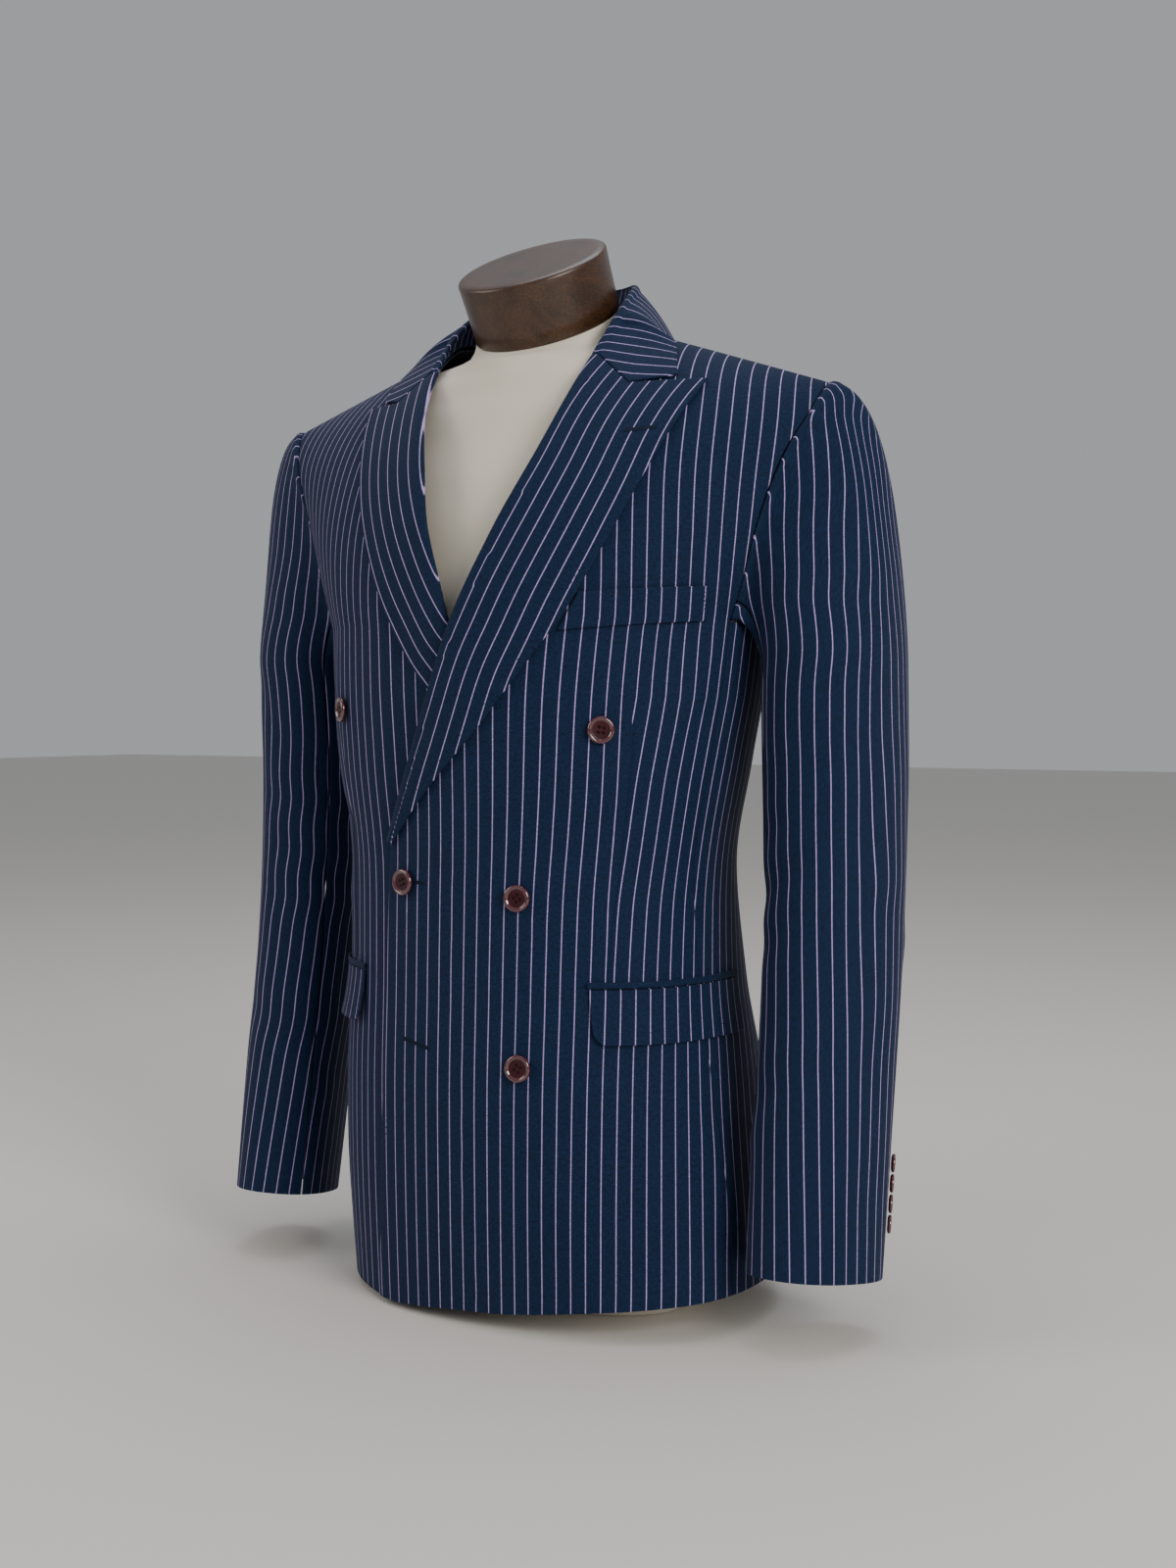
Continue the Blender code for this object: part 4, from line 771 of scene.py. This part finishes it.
ARM_ROUND, ARM_COLUMNS = 0.34, 168      # metres and columns round the sleeve
FLAT_SLEEVE = {"top": ((0.244, 0.646), 0.107), "under": ((0.182, 0.596), 0.078)}
# how far the pinstripes move forwards: height, all round, and this much more at the outer line
ARM_GRAIN = [(0.044, -0.0452, 0.0), (0.089, -0.0400, 0.0), (0.134, -0.0344, -0.0020),
             (0.186, -0.0277, -0.0037), (0.239, -0.0209, -0.0084), (0.292, -0.0145, -0.0092),
             (0.318, -0.0118, -0.0122),
             (0.372, -0.0056, -0.0101), (0.426, 0.0003, -0.0081), (0.467, 0.0018, -0.0063),
             (0.507, 0.0016, 0.0010), (0.534, -0.0031, 0.0115), (0.562, -0.0084, 0.0230),
             (0.589, -0.0157, 0.0300), (0.617, -0.0231, 0.0297), (0.638, -0.0299, 0.0240),
             (0.659, -0.0440, 0.0126), (0.690, -0.0600, 0.0100)]


def section(height, share, side):
    """Sleeve section at each height: a squared ellipse, turned, moved and tilted at the cuff."""
    height = np.asarray(height, float)[:, None]
    xc, yc, bx, ay, rot = (curve(SLEEVE, height, k) for k in range(1, 6))
    w = 2 * pi * np.asarray(share)[None]
    cw, sw = np.cos(w), np.sin(w)
    px, py = bx * np.sign(cw) * np.abs(cw) ** 0.9, -ay * np.sign(sw) * np.abs(sw) ** 0.9
    r = -np.radians(rot)
    x, y = px * np.cos(r) - py * np.sin(r), px * np.sin(r) + py * np.cos(r)
    tilt = CUFF_TILT * step((0.20 - height) / 0.16)
    return np.stack([side * (xc + x), yc + y, height + tilt * y], -1)


def even(line, count, also=None):
    """Points at even steps along a closed line, and the matching values of another array."""
    loop = np.concatenate([line, line[:1]])
    s = run_along(loop)
    t = np.linspace(0, s[-1], count, endpoint=False)
    pick = lambda a: np.stack([np.interp(t, s, np.append(a[:, j], a[0, j])) for j in range(a.shape[1])], -1)
    return (t / s[-1], pick(line)) + tuple(pick(a) for a in (also or ()))


def blur(a, width):
    """Running mean over a closed row of vectors."""
    return sum(np.roll(a, k, 0) for k in range(-width, width + 1)) / (2 * width + 1)


sleeves = {}
for side, tag in SIDES:
    fp, fn, fphi, fh = armhole[side, "front"]
    bp, bn, bphi, bh = armhole[side, "back"]
    sp, sn = side_top[side]
    k = len(LOW) - 1
    f_in = unit(coat(fphi + side * 0.5, fh) - coat(fphi - side * 0.5, fh))[k:]
    b_in = unit(coat(bphi - side * 0.5, bh) - coat(bphi + side * 0.5, bh))[k:]
    pts = np.concatenate([fp[k:][::-1], sp[4:-4], bp[k:-1]])
    nrm = unit(np.concatenate([fn[k:][::-1], sn[4:-4], bn[k:-1]]))
    into = np.concatenate([f_in[::-1], np.repeat(UP[None], len(sp) - 8, 0), b_in[:-1]])
    pts[0, 1] = RIDGE_Y
    share, start, into, nrm = even(pts, ARM_COLUMNS, (into, nrm))
    into, nrm = unit(blur(into, 3)), unit(blur(nrm, 2))
    start = start + into * SEAM * 2.2
    # even the shares so that the middle of the underarm faces the body
    low_mid = share[np.argmin(np.abs(start[:, 1] - sp[:, 1].mean()) + (start[:, 2] > 0.53))]
    share = np.where(share < low_mid, share * 0.5 / low_mid, 0.5 + (share - low_mid) * 0.5 / (1 - low_mid))
    end = section([ELBOW], share, side)[0]
    span = np.linalg.norm(end - start, axis=1, keepdims=True)
    lead = into * (0.24 * span + 0.012)
    low_part = (np.abs(share - 0.5) < 0.13)[:, None]
    lead = blur(lead + low_part * np.array([side * 0.016, 0, 0]), 4)
    lead = lead + HEAD_FULL * step((start[:, 2:] - 0.600) / 0.055) * np.array([side, 0, 0.15])
    tail = unit(section([ELBOW - 0.03], share, side)[0] - end) * (1.05 * span)
    s = np.concatenate([[0, 0.0008, 0.0025, 0.005, 0.009, 0.016], np.linspace(0.026, 1, 44)])[:, None, None]
    head = hermite(s, start, end, lead, tail)
    rope = 0.0012 * np.exp(-((s - 0.035) / 0.03) ** 2) * step((start[:, 2] - 0.56) / 0.08)[None, :, None]
    down = np.concatenate([np.linspace(ELBOW - 0.005, 0.050, 84),
                           [0.0462, 0.0452, 0.0447, 0.0443, 0.0441, 0.044]])
    grid = np.concatenate([head, section(down, share, side)], 0)
    closed = np.concatenate([grid[:, -1:], grid, grid[:, :1]], 1)
    n = unit(np.cross(closed[:, 2:] - closed[:, :-2], np.gradient(grid, axis=0))) * side
    n[0] = nrm
    for row in range(1, 6):
        n[row] = unit(n[row] + nrm * (0.5 - 0.09 * row))
    press = sum(crease(share[None], grid[..., 2], row, ARM_ROUND, (0.4, 0.35)) for row in ARM_FOLDS)
    rows = len(s)
    press[:rows] += rope[..., 0]
    grid = grid + n * press[..., None]
    # width round from the outer line: along each row below, along level cuts through the head
    ring = np.linalg.norm(np.diff(np.concatenate([grid, grid[:, :1]], 1), axis=1), axis=2)
    far = np.concatenate([np.zeros((len(grid), 1)), np.cumsum(ring, 1)], 1)
    u = np.where(share < 0.5, far[:, :-1], far[:, :-1] - far[:, -1:])
    level = np.linspace(ELBOW, grid[..., 2].max(), 90)
    fall = np.minimum.accumulate(grid[:rows, :, 2], 0)
    at = np.stack([np.interp(level, fall[::-1, j], np.arange(rows)[::-1]) for j in range(len(share))], 1)
    i = np.minimum(at.astype(int), rows - 2)
    fr, col = (at - i)[..., None], np.arange(len(share))[None]
    slices = grid[i, col] * (1 - fr) + grid[i + 1, col] * fr
    ring = np.linalg.norm(np.diff(np.concatenate([slices, slices[:, :1]], 1), axis=1), axis=2)
    ahead = np.concatenate([np.zeros((len(level), 1)), np.cumsum(ring[:, :-1], 1)], 1)
    behind = -np.cumsum(ring[:, ::-1], 1)[:, ::-1]
    cuts = np.where(share < 0.5, ahead, behind)
    for j in range(len(share)):
        u[:rows, j] = np.interp(grid[:rows, j, 2], level, cuts[:, j])
    total = far[:, -1:].copy()
    total[:rows] = far[rows - 1, -1]
    v = -up_the_cloth(grid)
    sleeves[side] = (grid, share)
    f, b = int(np.argmin(np.abs(share - FRONT_SEAM))), int(np.argmin(np.abs(share - HIND_SEAM)))
    for part, cols in (("top", np.r_[b:len(share), 0:f + 1]), ("under", np.arange(f, b + 1))):
        g, m = grid[:, cols], n[:, cols]
        g[:, 0] += unit(g[:, 1] - g[:, 0]) * SEAM * 1.6
        g[:, -1] += unit(g[:, -2] - g[:, -1]) * SEAM * 1.6
        uu = u[:, cols]
        if part == "under":
            uu = np.where(uu < 0, uu + total, uu)
        outer = step((0.0378 - uu) / 0.0441)
        uu = uu - curve(ARM_GRAIN, grid[:, cols, 2], 1) - curve(ARM_GRAIN, grid[:, cols, 2], 2) * outer
        uv = np.stack([uu + 0.3 * PINSTRIPE_GAP, v[:, cols]], -1)

        # extra columns close to both seams let the edges turn in
        near = np.array([0, 0.08, 0.22, 0.5])
        w = np.concatenate([near, np.arange(1, len(cols) - 1), (len(cols) - 1 - near)[::-1]])
        i = np.minimum(w.astype(int), len(cols) - 2)
        fr = (w - i)[None, :, None]
        g, m, uv = (a[:, i] * (1 - fr) + a[:, i + 1] * fr for a in (g, m, uv))
        name = "sleeve_%s_%s" % (part, tag)
        piece = shell("cloth_" + name, g, unit(m), CLOTH, uv, [pinstripe_wool, satin], groove=GROOVE)
        cut(piece, name, *FLAT_SLEEVE[part], rests_on=["cloth_front_" + tag, "cloth_back_" + tag])

# --- Dress form --------------------------------------------------------------------------
# A limbless torso of padding board covered in off-white cotton jersey, with a flat base and a
# short neck that leans forward; the jacket hangs clear of it.
FORM = [  # height, half width, front y, middle y, back y, squareness, fall of the front
    (0.000, 0.104, -0.084, -0.025, 0.052, 2.2, 0), (0.004, 0.108, -0.088, -0.025, 0.056, 2.2, 0),
    (0.040, 0.134, -0.112, -0.025, 0.084, 2.3, 0), (0.080, 0.147, -0.126, -0.025, 0.099, 2.3, 0),
    (0.120, 0.149, -0.130, -0.025, 0.102, 2.3, 0), (0.200, 0.142, -0.130, -0.025, 0.094, 2.2, 0),
    (0.320, 0.135, -0.127, -0.025, 0.073, 2.2, 0), (0.420, 0.149, -0.130, -0.025, 0.080, 2.1, 0),
    (0.500, 0.161, -0.130, -0.024, 0.092, 2.0, 0), (0.560, 0.173, -0.119, -0.022, 0.095, 1.9, 0),
    (0.605, 0.181, -0.104, -0.020, 0.088, 1.8, 0), (0.640, 0.184, -0.088, -0.018, 0.074, 1.7, 0),
    (0.660, 0.184, -0.082, -0.018, 0.062, 1.6, 0), (0.6755, 0.178, -0.077, -0.018, 0.050, 1.5, 0),
    (0.6870, 0.163, -0.076, -0.018, 0.043, 1.4, 0.002), (0.6970, 0.135, -0.075, -0.018, 0.037, 1.3, 0.006),
    (0.7050, 0.098, -0.0735, -0.017, 0.034, 1.6, 0.011),
    (0.7140, 0.059, -0.0727, -0.0155, 0.0417, 2.0, 0.0143),
    (0.7245, 0.0572, -0.0667, -0.014, 0.0387, 2.0, 0.0224),
    (0.7340, 0.057, -0.0624, -0.013, 0.0364, 2.0, 0.0285)]
jersey, tree, shader = material("off_white_cotton_jersey", Roughness=0.92, Sheen_Weight=0.25,
                                Base_Color=linear("#D9D2C2"))
where = add(tree, "ShaderNodeTexCoord").outputs["Object"]
knit = add(tree, "ShaderNodeTexWave", {"Vector": where, "Scale": 260.0, "Distortion": 1.5, "Detail": 1.0})
add_bump(tree, shader, knit.outputs["Fac"], 0.25)


def rings(table, z, count):
    """Rings of a torso at these heights: squared half ellipses in front and behind."""
    a = 2 * pi * np.arange(count)[None] / count
    half, yf, ym, yb, sq, drop = (curve(table, z, k)[:, None] for k in range(1, 7))
    ca, sa = np.cos(a), np.sin(a)
    x = curve(BODY, z, 1)[:, None] + half * np.sign(sa) * np.abs(sa) ** (2 / sq)
    c = np.sign(ca) * np.abs(ca) ** (2 / sq)
    return np.stack([x, ym - np.where(c > 0, (ym - yf) * c, (yb - ym) * c), z[:, None] - drop * c], -1)


def around(name, grid, mats, ring_mat=None):
    """Closed solid from rings of points, with a flat cap at both ends; ring_mat holds one
    material number per band between two rings."""
    r, c = grid.shape[:2]
    i = np.arange(r * c).reshape(r, c)
    j = np.roll(i, -1, 1)
    faces = np.stack([i[:-1], j[:-1], j[1:], i[1:]], -1).reshape(-1, 4)
    caps = [i[0, ::-1], i[-1]]
    spots = grid.reshape(-1, 3)
    corner, beside, above = (spots[faces[:, k]] for k in (0, 1, 3))
    if (np.cross(beside - corner, above - corner) * (corner - spots.mean(0))).sum() < 0:    # inside out
        faces, caps = faces[:, ::-1], [i[0], i[-1, ::-1]]
    return put(name, spots, faces, mats, caps=caps,
               mat_index=None if ring_mat is None else np.repeat(ring_mat, c))


z = np.concatenate([[0, 0.0006, 0.0016, 0.003, 0.0045, 0.007], np.linspace(0.011, 0.7335, 190), [0.7340]])
form = around("form_body", rings(FORM, z, 180), [jersey])
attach(form, "root")
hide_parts("form_torso")

# --- Neck block --------------------------------------------------------------------------
# Turned walnut disc set on the form's neck, oiled, with its edge rounded over.
BLOCK = [(0.0000, 0.0560), (0.0002, 0.0567), (0.0009, 0.0572), (0.0120, 0.0574), (0.0300, 0.0578),
         (0.0440, 0.0584), (0.0462, 0.0585), (0.0474, 0.0582), (0.0483, 0.0574), (0.0490, 0.0560),
         (0.0491, 0.0500), (0.0489, 0.0300), (0.0489, 0.0100)]      # rise, radius
BLOCK_LEAN, BLOCK_FOOT = radians(30), (0, -0.013, 0.734)
walnut, tree, shader = material("oiled_walnut", Roughness=0.36, Coat_Weight=0.2, Coat_Roughness=0.25)
where = add(tree, "ShaderNodeTexCoord").outputs["Object"]
turn = add(tree, "ShaderNodeMapping", {"Vector": where, "Rotation": (-BLOCK_LEAN, 0, radians(12)),
                                       "Scale": (1.0, 0.22, 1.0)}).outputs[0]
year = add(tree, "ShaderNodeTexNoise", {"Vector": turn, "Scale": 55.0, "Detail": 5.0, "Roughness": 0.62,
                                        "Distortion": 0.5}).outputs[0]
pore = add(tree, "ShaderNodeTexNoise", {"Vector": turn, "Scale": 900.0, "Detail": 2.0}).outputs[0]
tone = add(tree, "ShaderNodeMath", {0: year, 1: pore}, operation="MULTIPLY").outputs[0]
ramp = add(tree, "ShaderNodeValToRGB", {"Fac": tone})
for stop, colour, at in zip(ramp.color_ramp.elements, ("#23150D", "#54361F"), (0.12, 0.46)):
    stop.color, stop.position = linear(colour), at
tree.links.new(ramp.outputs[0], shader.inputs["Base Color"])
add_bump(tree, shader, tone, 0.25)


def turned(name, middle, axis, profile, count, mats):
    """Solid of revolution about an axis; profile rows are rise along the axis and radius."""
    first = unit(np.cross(axis, [0.3, 0.1, 1.0]))
    a = 2 * pi * np.arange(count)[:, None] / count
    spoke = first * np.cos(a) + np.cross(axis, first) * np.sin(a)
    s = np.array(profile, float)
    return around(name, np.asarray(middle) + axis * s[:, None, :1] + spoke[None] * s[:, None, 1:], mats)


lean = np.array([0.0, -sin(BLOCK_LEAN), cos(BLOCK_LEAN)])
block = turned("neck_block_wood", BLOCK_FOOT + lean * SEAM, lean, BLOCK, 128, [walnut])
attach(block, "root")
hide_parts("neck_block")

# --- Pockets -----------------------------------------------------------------------------
# A breast welt sewn down at both ends, and at each hip a jetted pocket under a flap with rounded
# corners. Flaps and welt are cut so that their pinstripes meet those of the front.
WELT = [(0.0815, 0.4920), (0.1641, 0.4990), (0.0952, 0.5188), (0.1676, 0.5236)]   # corners: x, height
POCKET_CLOTH, POCKET_LIFT, WELT_LIFT = 0.0017, 0.0009, 0.0025
FLAP_ROUND, FLAP_Z, FLAP_CORNER = (37.0, 94.5), (0.2044, 0.2424), 0.011
JET_Z = (0.2431, 0.2476)
FLAT_WELT, FLAT_JET = ((0.103, 0.031), 0.0027), ((0.138, 0.010), 0.0008)
FLAT_FLAP = {1: ((0.141, 0.044), 0.0055), -1: ((0.137, 0.044), 0.0055)}


def on_panel(phi, h, side, lift):
    """Points and normals of the jacket's face here, moved out by lift."""
    n = coat_normal(phi, h)
    p = coat(phi, h) + n * np.asarray(lift)[..., None]
    return (p + n * under(phi, h)[..., None] if side < 0 else p), n


s, t = fine(0.075, 0.0022)[None, :], fine(0.026, 0.0018)[:, None]
w = np.array(WELT)
corner = lambda c: (w[0, c] * (1 - s) + w[1, c] * s) * (1 - t) + (w[2, c] * (1 - s) + w[3, c] * s) * t
p, n = on_front(corner(0), corner(1), 1, WELT_LIFT)
phi, h = place(corner(0), corner(1))
u = np.stack([grain(phi[:, j:j + 1], h[:, j:j + 1], 1)[:, 0] for j in range(phi.shape[1])], 1)
welt = shell("cloth_welt", p, n, POCKET_CLOTH, np.stack([u, up_the_cloth(p)], -1), [pinstripe_wool])
cut(welt, "welt_pocket", *FLAT_WELT, held="folded", rests_on=["cloth_front_left"])

flap_rim = {}
for side, tag in SIDES:
    s, t = fine(0.155, 0.0028)[None, :], fine(0.038, 0.0018)[:, None]
    h = FLAP_Z[0] + (FLAP_Z[1] - FLAP_Z[0]) * t
    rest = np.clip(FLAP_CORNER - (h - FLAP_Z[0]), 0, FLAP_CORNER)
    begin = FLAP_ROUND[0] + np.degrees((FLAP_CORNER - np.sqrt(FLAP_CORNER ** 2 - rest ** 2)) / 0.155)
    phi = side * (begin * (1 - s) + FLAP_ROUND[1] * s)
    h = h + 0 * s
    kick = (0.0018 if side > 0 else 0.0042) * (1 - t) ** 1.5 + 0.0004 * np.sin(9 * s) * (1 - t)
    p, n = on_panel(phi, h, side, POCKET_CLOTH + POCKET_LIFT + kick)
    n = grid_normals(p, n)
    uv = np.stack([grain(phi, h, side), up_the_cloth(p)], -1)
    flap = shell("cloth_flap_" + tag, p, n, POCKET_CLOTH, uv, [pinstripe_wool, satin])
    cut(flap, "flap_" + tag, *FLAT_FLAP[side], rests_on=["cloth_front_" + tag])
    flap_rim[side] = (p, n)
    s, t = fine(0.160, 0.0028)[None, :], fine(0.0045, 0.0006)[:, None]
    h = JET_Z[0] + (JET_Z[1] - JET_Z[0]) * t + 0 * s
    phi = side * (FLAP_ROUND[0] - 0.5 + (FLAP_ROUND[1] - FLAP_ROUND[0] + 1.2) * s) + 0 * t
    p, n = on_panel(phi, h, side, POCKET_CLOTH + POCKET_LIFT + 0.0004 * (1 - (2 * t - 1) ** 2))
    jet = shell("cloth_jet_" + tag, p, n, POCKET_CLOTH,
                np.stack([metres_round(phi, h), up_the_cloth(p)], -1), [plain_wool])
    cut(jet, "jet_" + tag, *FLAT_JET, held="folded", rests_on=["cloth_front_" + tag])

# --- Stitches and buttonholes ------------------------------------------------------------
# Hand-picked stitches 6 mm inside the edges, 5 mm apart, in navy silk, each drawn a little into
# the cloth; and worked buttonholes, a ring of close purl stitches round a slit.
PICK_STEP, PICK_LONG, PICK_WIDE = 0.0050, 0.0014, 0.00026
HOLE_HALF, PURL_WIDE = 0.00095, 0.00026     # half width of a buttonhole, half width of its stitches
silk = material("navy_silk_thread", Roughness=0.7, Specular_IOR_Level=0.2, Base_Color=linear("#0B1A2E"))[0]


def along(line, step_length, start=0.5):
    """Points at even steps along a line of points, with the direction of the line at each."""
    s = run_along(line)
    t = np.arange(start * step_length, s[-1], step_length)
    pick = lambda t: np.stack([np.interp(t, s, line[:, j]) for j in range(3)], -1)
    return pick(t), unit(pick(t + 0.0004) - pick(t - 0.0004))


def nearest(spots, points):
    """Number of the point that lies nearest to each spot."""
    return np.argmin(np.linalg.norm(spots[:, None] - points[None], axis=2), 1)


def capsules(name, middle, way, normal, long, wide, mat):
    """Many short flattened rods in one mesh: rings of six round each middle, closed to a point."""
    t = np.array([-1, -0.94, -0.72, 0, 0.72, 0.94, 1.0])
    r = np.array([0.05, 0.45, 0.85, 1.0, 0.85, 0.45, 0.05])
    a = 2 * pi * np.arange(6) / 6
    side_way = unit(np.cross(way, normal))
    body = (middle[:, None, None] + way[:, None, None] * (t[None, :, None, None] * long / 2)
            + side_way[:, None, None] * (r[:, None] * np.cos(a))[None, ..., None] * wide
            + normal[:, None, None] * (r[:, None] * np.sin(a))[None, ..., None] * wide * 0.7)
    count, rows, cols = body.shape[:3]
    i = np.arange(count * rows * cols).reshape(count, rows, cols)
    j = np.roll(i, -1, 2)
    faces = np.stack([i[:, :-1], i[:, 1:], j[:, 1:], j[:, :-1]], -1).reshape(-1, 4)
    ends = [list(q) for q in i[:, 0]] + [list(q[::-1]) for q in i[:, -1]]
    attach(put(name, body.reshape(-1, 3), faces, [mat], caps=ends), "root")


def stitches(name, rows, long, wide, mat):
    """Thread in one mesh, from rows of stitches: their middles, directions and normals."""
    capsules(name, *(np.concatenate([row[k] for row in rows]) for k in range(3)), long, wide, mat)


rows = []
for side in (1, -1):
    leaf, n = lapel_edge[side]
    edge = leaf[:, -1] + unit(leaf[:, -8] - leaf[:, -1]) * 0.006
    spots, way = along(edge[12:-4], PICK_STEP)
    near = nearest(spots, edge)
    rows.append((spots + n[near, -1] * 0.0001, way, n[near, -1]))
    rim, m = flap_rim[side]
    spots, way = along(np.concatenate([rim[::-1, 6][6:-8], rim[8, 8:-6]]), PICK_STEP)
    rows.append((spots, way, m.reshape(-1, 3)[::3][nearest(spots, rim.reshape(-1, 3)[::3])]))
z = np.linspace(0.022, 0.326, 80)
line, n = on_front(curve(EDGE[1], z) + 0.006, z, 1)
spots, way = along(line, PICK_STEP)
rows.append((spots, way, n[nearest(spots, line)]))
for end in (0, 1):
    t = np.linspace(0.06, 0.94, 12)
    x = (WELT[end][0] * (1 - t) + WELT[end + 2][0] * t) + (0.0015 if end == 0 else -0.0015)
    z = WELT[end][1] * (1 - t) + WELT[end + 2][1] * t
    line, n = on_front(x, z, 1, WELT_LIFT)
    spots, way = along(line, 0.0030)
    rows.append((spots, way, n[nearest(spots, line)]))
stitches("pick_stitches", rows, PICK_LONG, PICK_WIDE, silk)

HOLES = [  # x and height of both ends, lift above the front at both
    (0.1133, 0.6315, 0.1328, 0.6339, 0.0040, 0.0037), (-0.0500, 0.3135, -0.0235, 0.3120, 0.0002, 0.0002),
    (-0.0425, 0.1990, -0.0185, 0.1945, 0.0002, 0.0002)]
for k, (x0, z0, x1, z1, lift, end_lift) in enumerate(HOLES):
    t = np.linspace(0, 1, 60)
    line, n = on_front(x0 + (x1 - x0) * t, z0 + (z1 - z0) * t, 1, lift + (end_lift - lift) * t)
    way = unit(np.gradient(line, axis=0))
    across = np.cross(way, n)
    for sign, tag in ((1, "upper"), (-1, "lower")):
        capsules("buttonhole_%d_%s" % (k + 1, tag), line + across * sign * HOLE_HALF * 0.75, across, n,
                 HOLE_HALF * 1.5, PURL_WIDE, silk)
    capsules("buttonhole_%d_ends" % (k + 1), line[[0, -1]] + way[[-1, 0]] * 0.0002, across[[0, -1]],
             n[[0, -1]], 0.0034, 0.0005, silk)

# --- Buttons -----------------------------------------------------------------------------
# Turned polyester buttons, burgundy with a polished raised rim, a dished face and four holes;
# sewn on with dark thread in two bars over a short shank. The rim is coloured a lighter, paler
# burgundy than the face: a painted highlight, on top of its real gloss.
BUTTONS = [  # front, x, height, degrees that it is turned
    (-1, -0.1206, 0.437, 12), (1, 0.1090, 0.423, -9), (1, -0.0429, 0.312, 20),
    (1, 0.0527, 0.305, 35), (1, 0.0560, 0.187, -28)]
BUTTON_R, CUFF_BUTTON_R, BUTTON_COLUMNS = 0.0097, 0.0066, 72
CUFF_BUTTONS, CUFF_LINE = (0.0760, 0.0898, 0.1036, 0.1174), 0.865       # heights, share round the sleeve
# shares of the button's radius: holes, bars of thread, then rise and radius of the turned section
HOLE_AT, HOLE_R, HOLE_DEEP = 0.185, 0.095, 0.17
THREAD_RISE, THREAD_LONG = 0.288, 0.52
TURNING = [(0.00, 0.05), (0.00, 0.30), (0.00, 0.60), (0.03, 0.80), (0.10, 0.93), (0.17, 0.985), (0.24, 1.0),
           (0.32, 0.985), (0.385, 0.945), (0.418, 0.90), (0.430, 0.85), (0.425, 0.80), (0.400, 0.75),
           (0.350, 0.70), (0.318, 0.665), (0.305, 0.62), (0.298, 0.55)]
TURNING += [(0.295 - 0.02 * (1 - r / 0.5), r) for r in np.linspace(0.5, 0.02, 22)]
RIM = (2, 14)           # the polished rim lies between these rows of the section
# the rim's lighter, paler base colour is painted highlight; its low roughness and coat give real gloss
rim_gloss_and_painted_highlight = material("polished_burgundy_polyester_painted_highlight", Roughness=0.07, Specular_IOR_Level=0.8, Coat_Weight=1.0,
                     Coat_Roughness=0.03, Base_Color=linear("#4A1620"))[0]
polyester, tree, shader = material("burgundy_polyester", Roughness=0.36, Specular_IOR_Level=0.3)
where = add(tree, "ShaderNodeTexCoord").outputs["Object"]
swirl = add(tree, "ShaderNodeTexNoise", {"Vector": where, "Scale": 160.0, "Detail": 3.0, "Distortion": 1.2})
tone = add(tree, "ShaderNodeMix", {"Factor": swirl.outputs[0], "A": linear("#18040A"),
                                   "B": linear("#430C1A")}, data_type="RGBA")
tree.links.new(tone.outputs["Result"], shader.inputs["Base Color"])
thread_silk = material("burgundy_thread", Roughness=0.7, Specular_IOR_Level=0.2,
                       Base_Color=linear("#2A0C16"))[0]


def button(name, node, middle, axis, radius, turn_by):
    """Button turned about its axis, its four holes sunk into the dished face; returns the middles,
    directions and normals of its two bars of thread."""
    axis = unit(axis)
    first = unit(np.cross(UP, axis))
    second = np.cross(axis, first)
    c, d = cos(turn_by), sin(turn_by)
    first, second = first * c + second * d, second * c - first * d
    a = 2 * pi * np.arange(BUTTON_COLUMNS)[None] / BUTTON_COLUMNS
    sec = np.array(TURNING, float)
    x, y = sec[:, 1:] * np.cos(a), sec[:, 1:] * np.sin(a)
    rise = sec[:, :1] + 0 * a
    face = np.arange(len(sec)) > RIM[1]
    off = np.hypot(np.abs(x) - HOLE_AT, np.abs(y) - HOLE_AT)
    rise = rise - face[:, None] * HOLE_DEEP * step((HOLE_R * 1.15 - off) / (HOLE_R * 0.4))
    grid = (middle + axis * (rise * radius)[..., None] + first * (x * radius)[..., None]
            + second * (y * radius)[..., None])
    band = np.arange(len(sec) - 1)
    obj = around(name, grid, [polyester, rim_gloss_and_painted_highlight], (band > RIM[0]) & (band < RIM[1]))
    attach(obj, "root")
    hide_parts(node)
    spots = middle + axis * radius * THREAD_RISE + second * np.array([[-1.0], [1.0]]) * HOLE_AT * radius
    return spots, np.stack([first, first]), np.stack([axis, axis])


bars = []
for k, (side, x, z, turn) in enumerate(BUTTONS):
    p, n = on_front(np.array(x), np.array(z), side)
    bars.append(button("polyester_button_%d" % (k + 1), "button_%d" % (k + 1), p + n * 0.0005, n, BUTTON_R,
                       radians(turn)))
stitches("front_button_thread", bars, BUTTON_R * THREAD_LONG, 0.0006, thread_silk)


def on_sleeve(grid, share, at, z):
    """Point of a sleeve at this share round it and this height."""
    rows = grid[::-1].transpose(0, 2, 1).reshape(-1, len(share))
    near = [np.interp(at, np.append(share, 1.0), np.append(row, row[0])) for row in rows]
    line = np.array(near).reshape(-1, 3)
    return np.array([np.interp(z, line[:, 2], line[:, j]) for j in range(3)])


bars = []
for side, tag in SIDES:
    grid, share = sleeves[side]
    for k, z in enumerate(CUFF_BUTTONS):
        p = on_sleeve(grid, share, CUFF_LINE, z)
        across = on_sleeve(grid, share, CUFF_LINE + 0.02, z) - on_sleeve(grid, share, CUFF_LINE - 0.02, z)
        up = on_sleeve(grid, share, CUFF_LINE, z + 0.006) - on_sleeve(grid, share, CUFF_LINE, z - 0.006)
        m = unit(np.cross(across, up))
        m = m * np.sign(m[0] * side)
        name = "cuff_button_%s_%d" % (tag, k + 1)
        bars.append(button("polyester_" + name, name, p + m * 0.0007, m, CUFF_BUTTON_R, radians(20 + 37 * k)))
stitches("cuff_button_thread", bars, CUFF_BUTTON_R * THREAD_LONG, 0.00045, thread_silk)
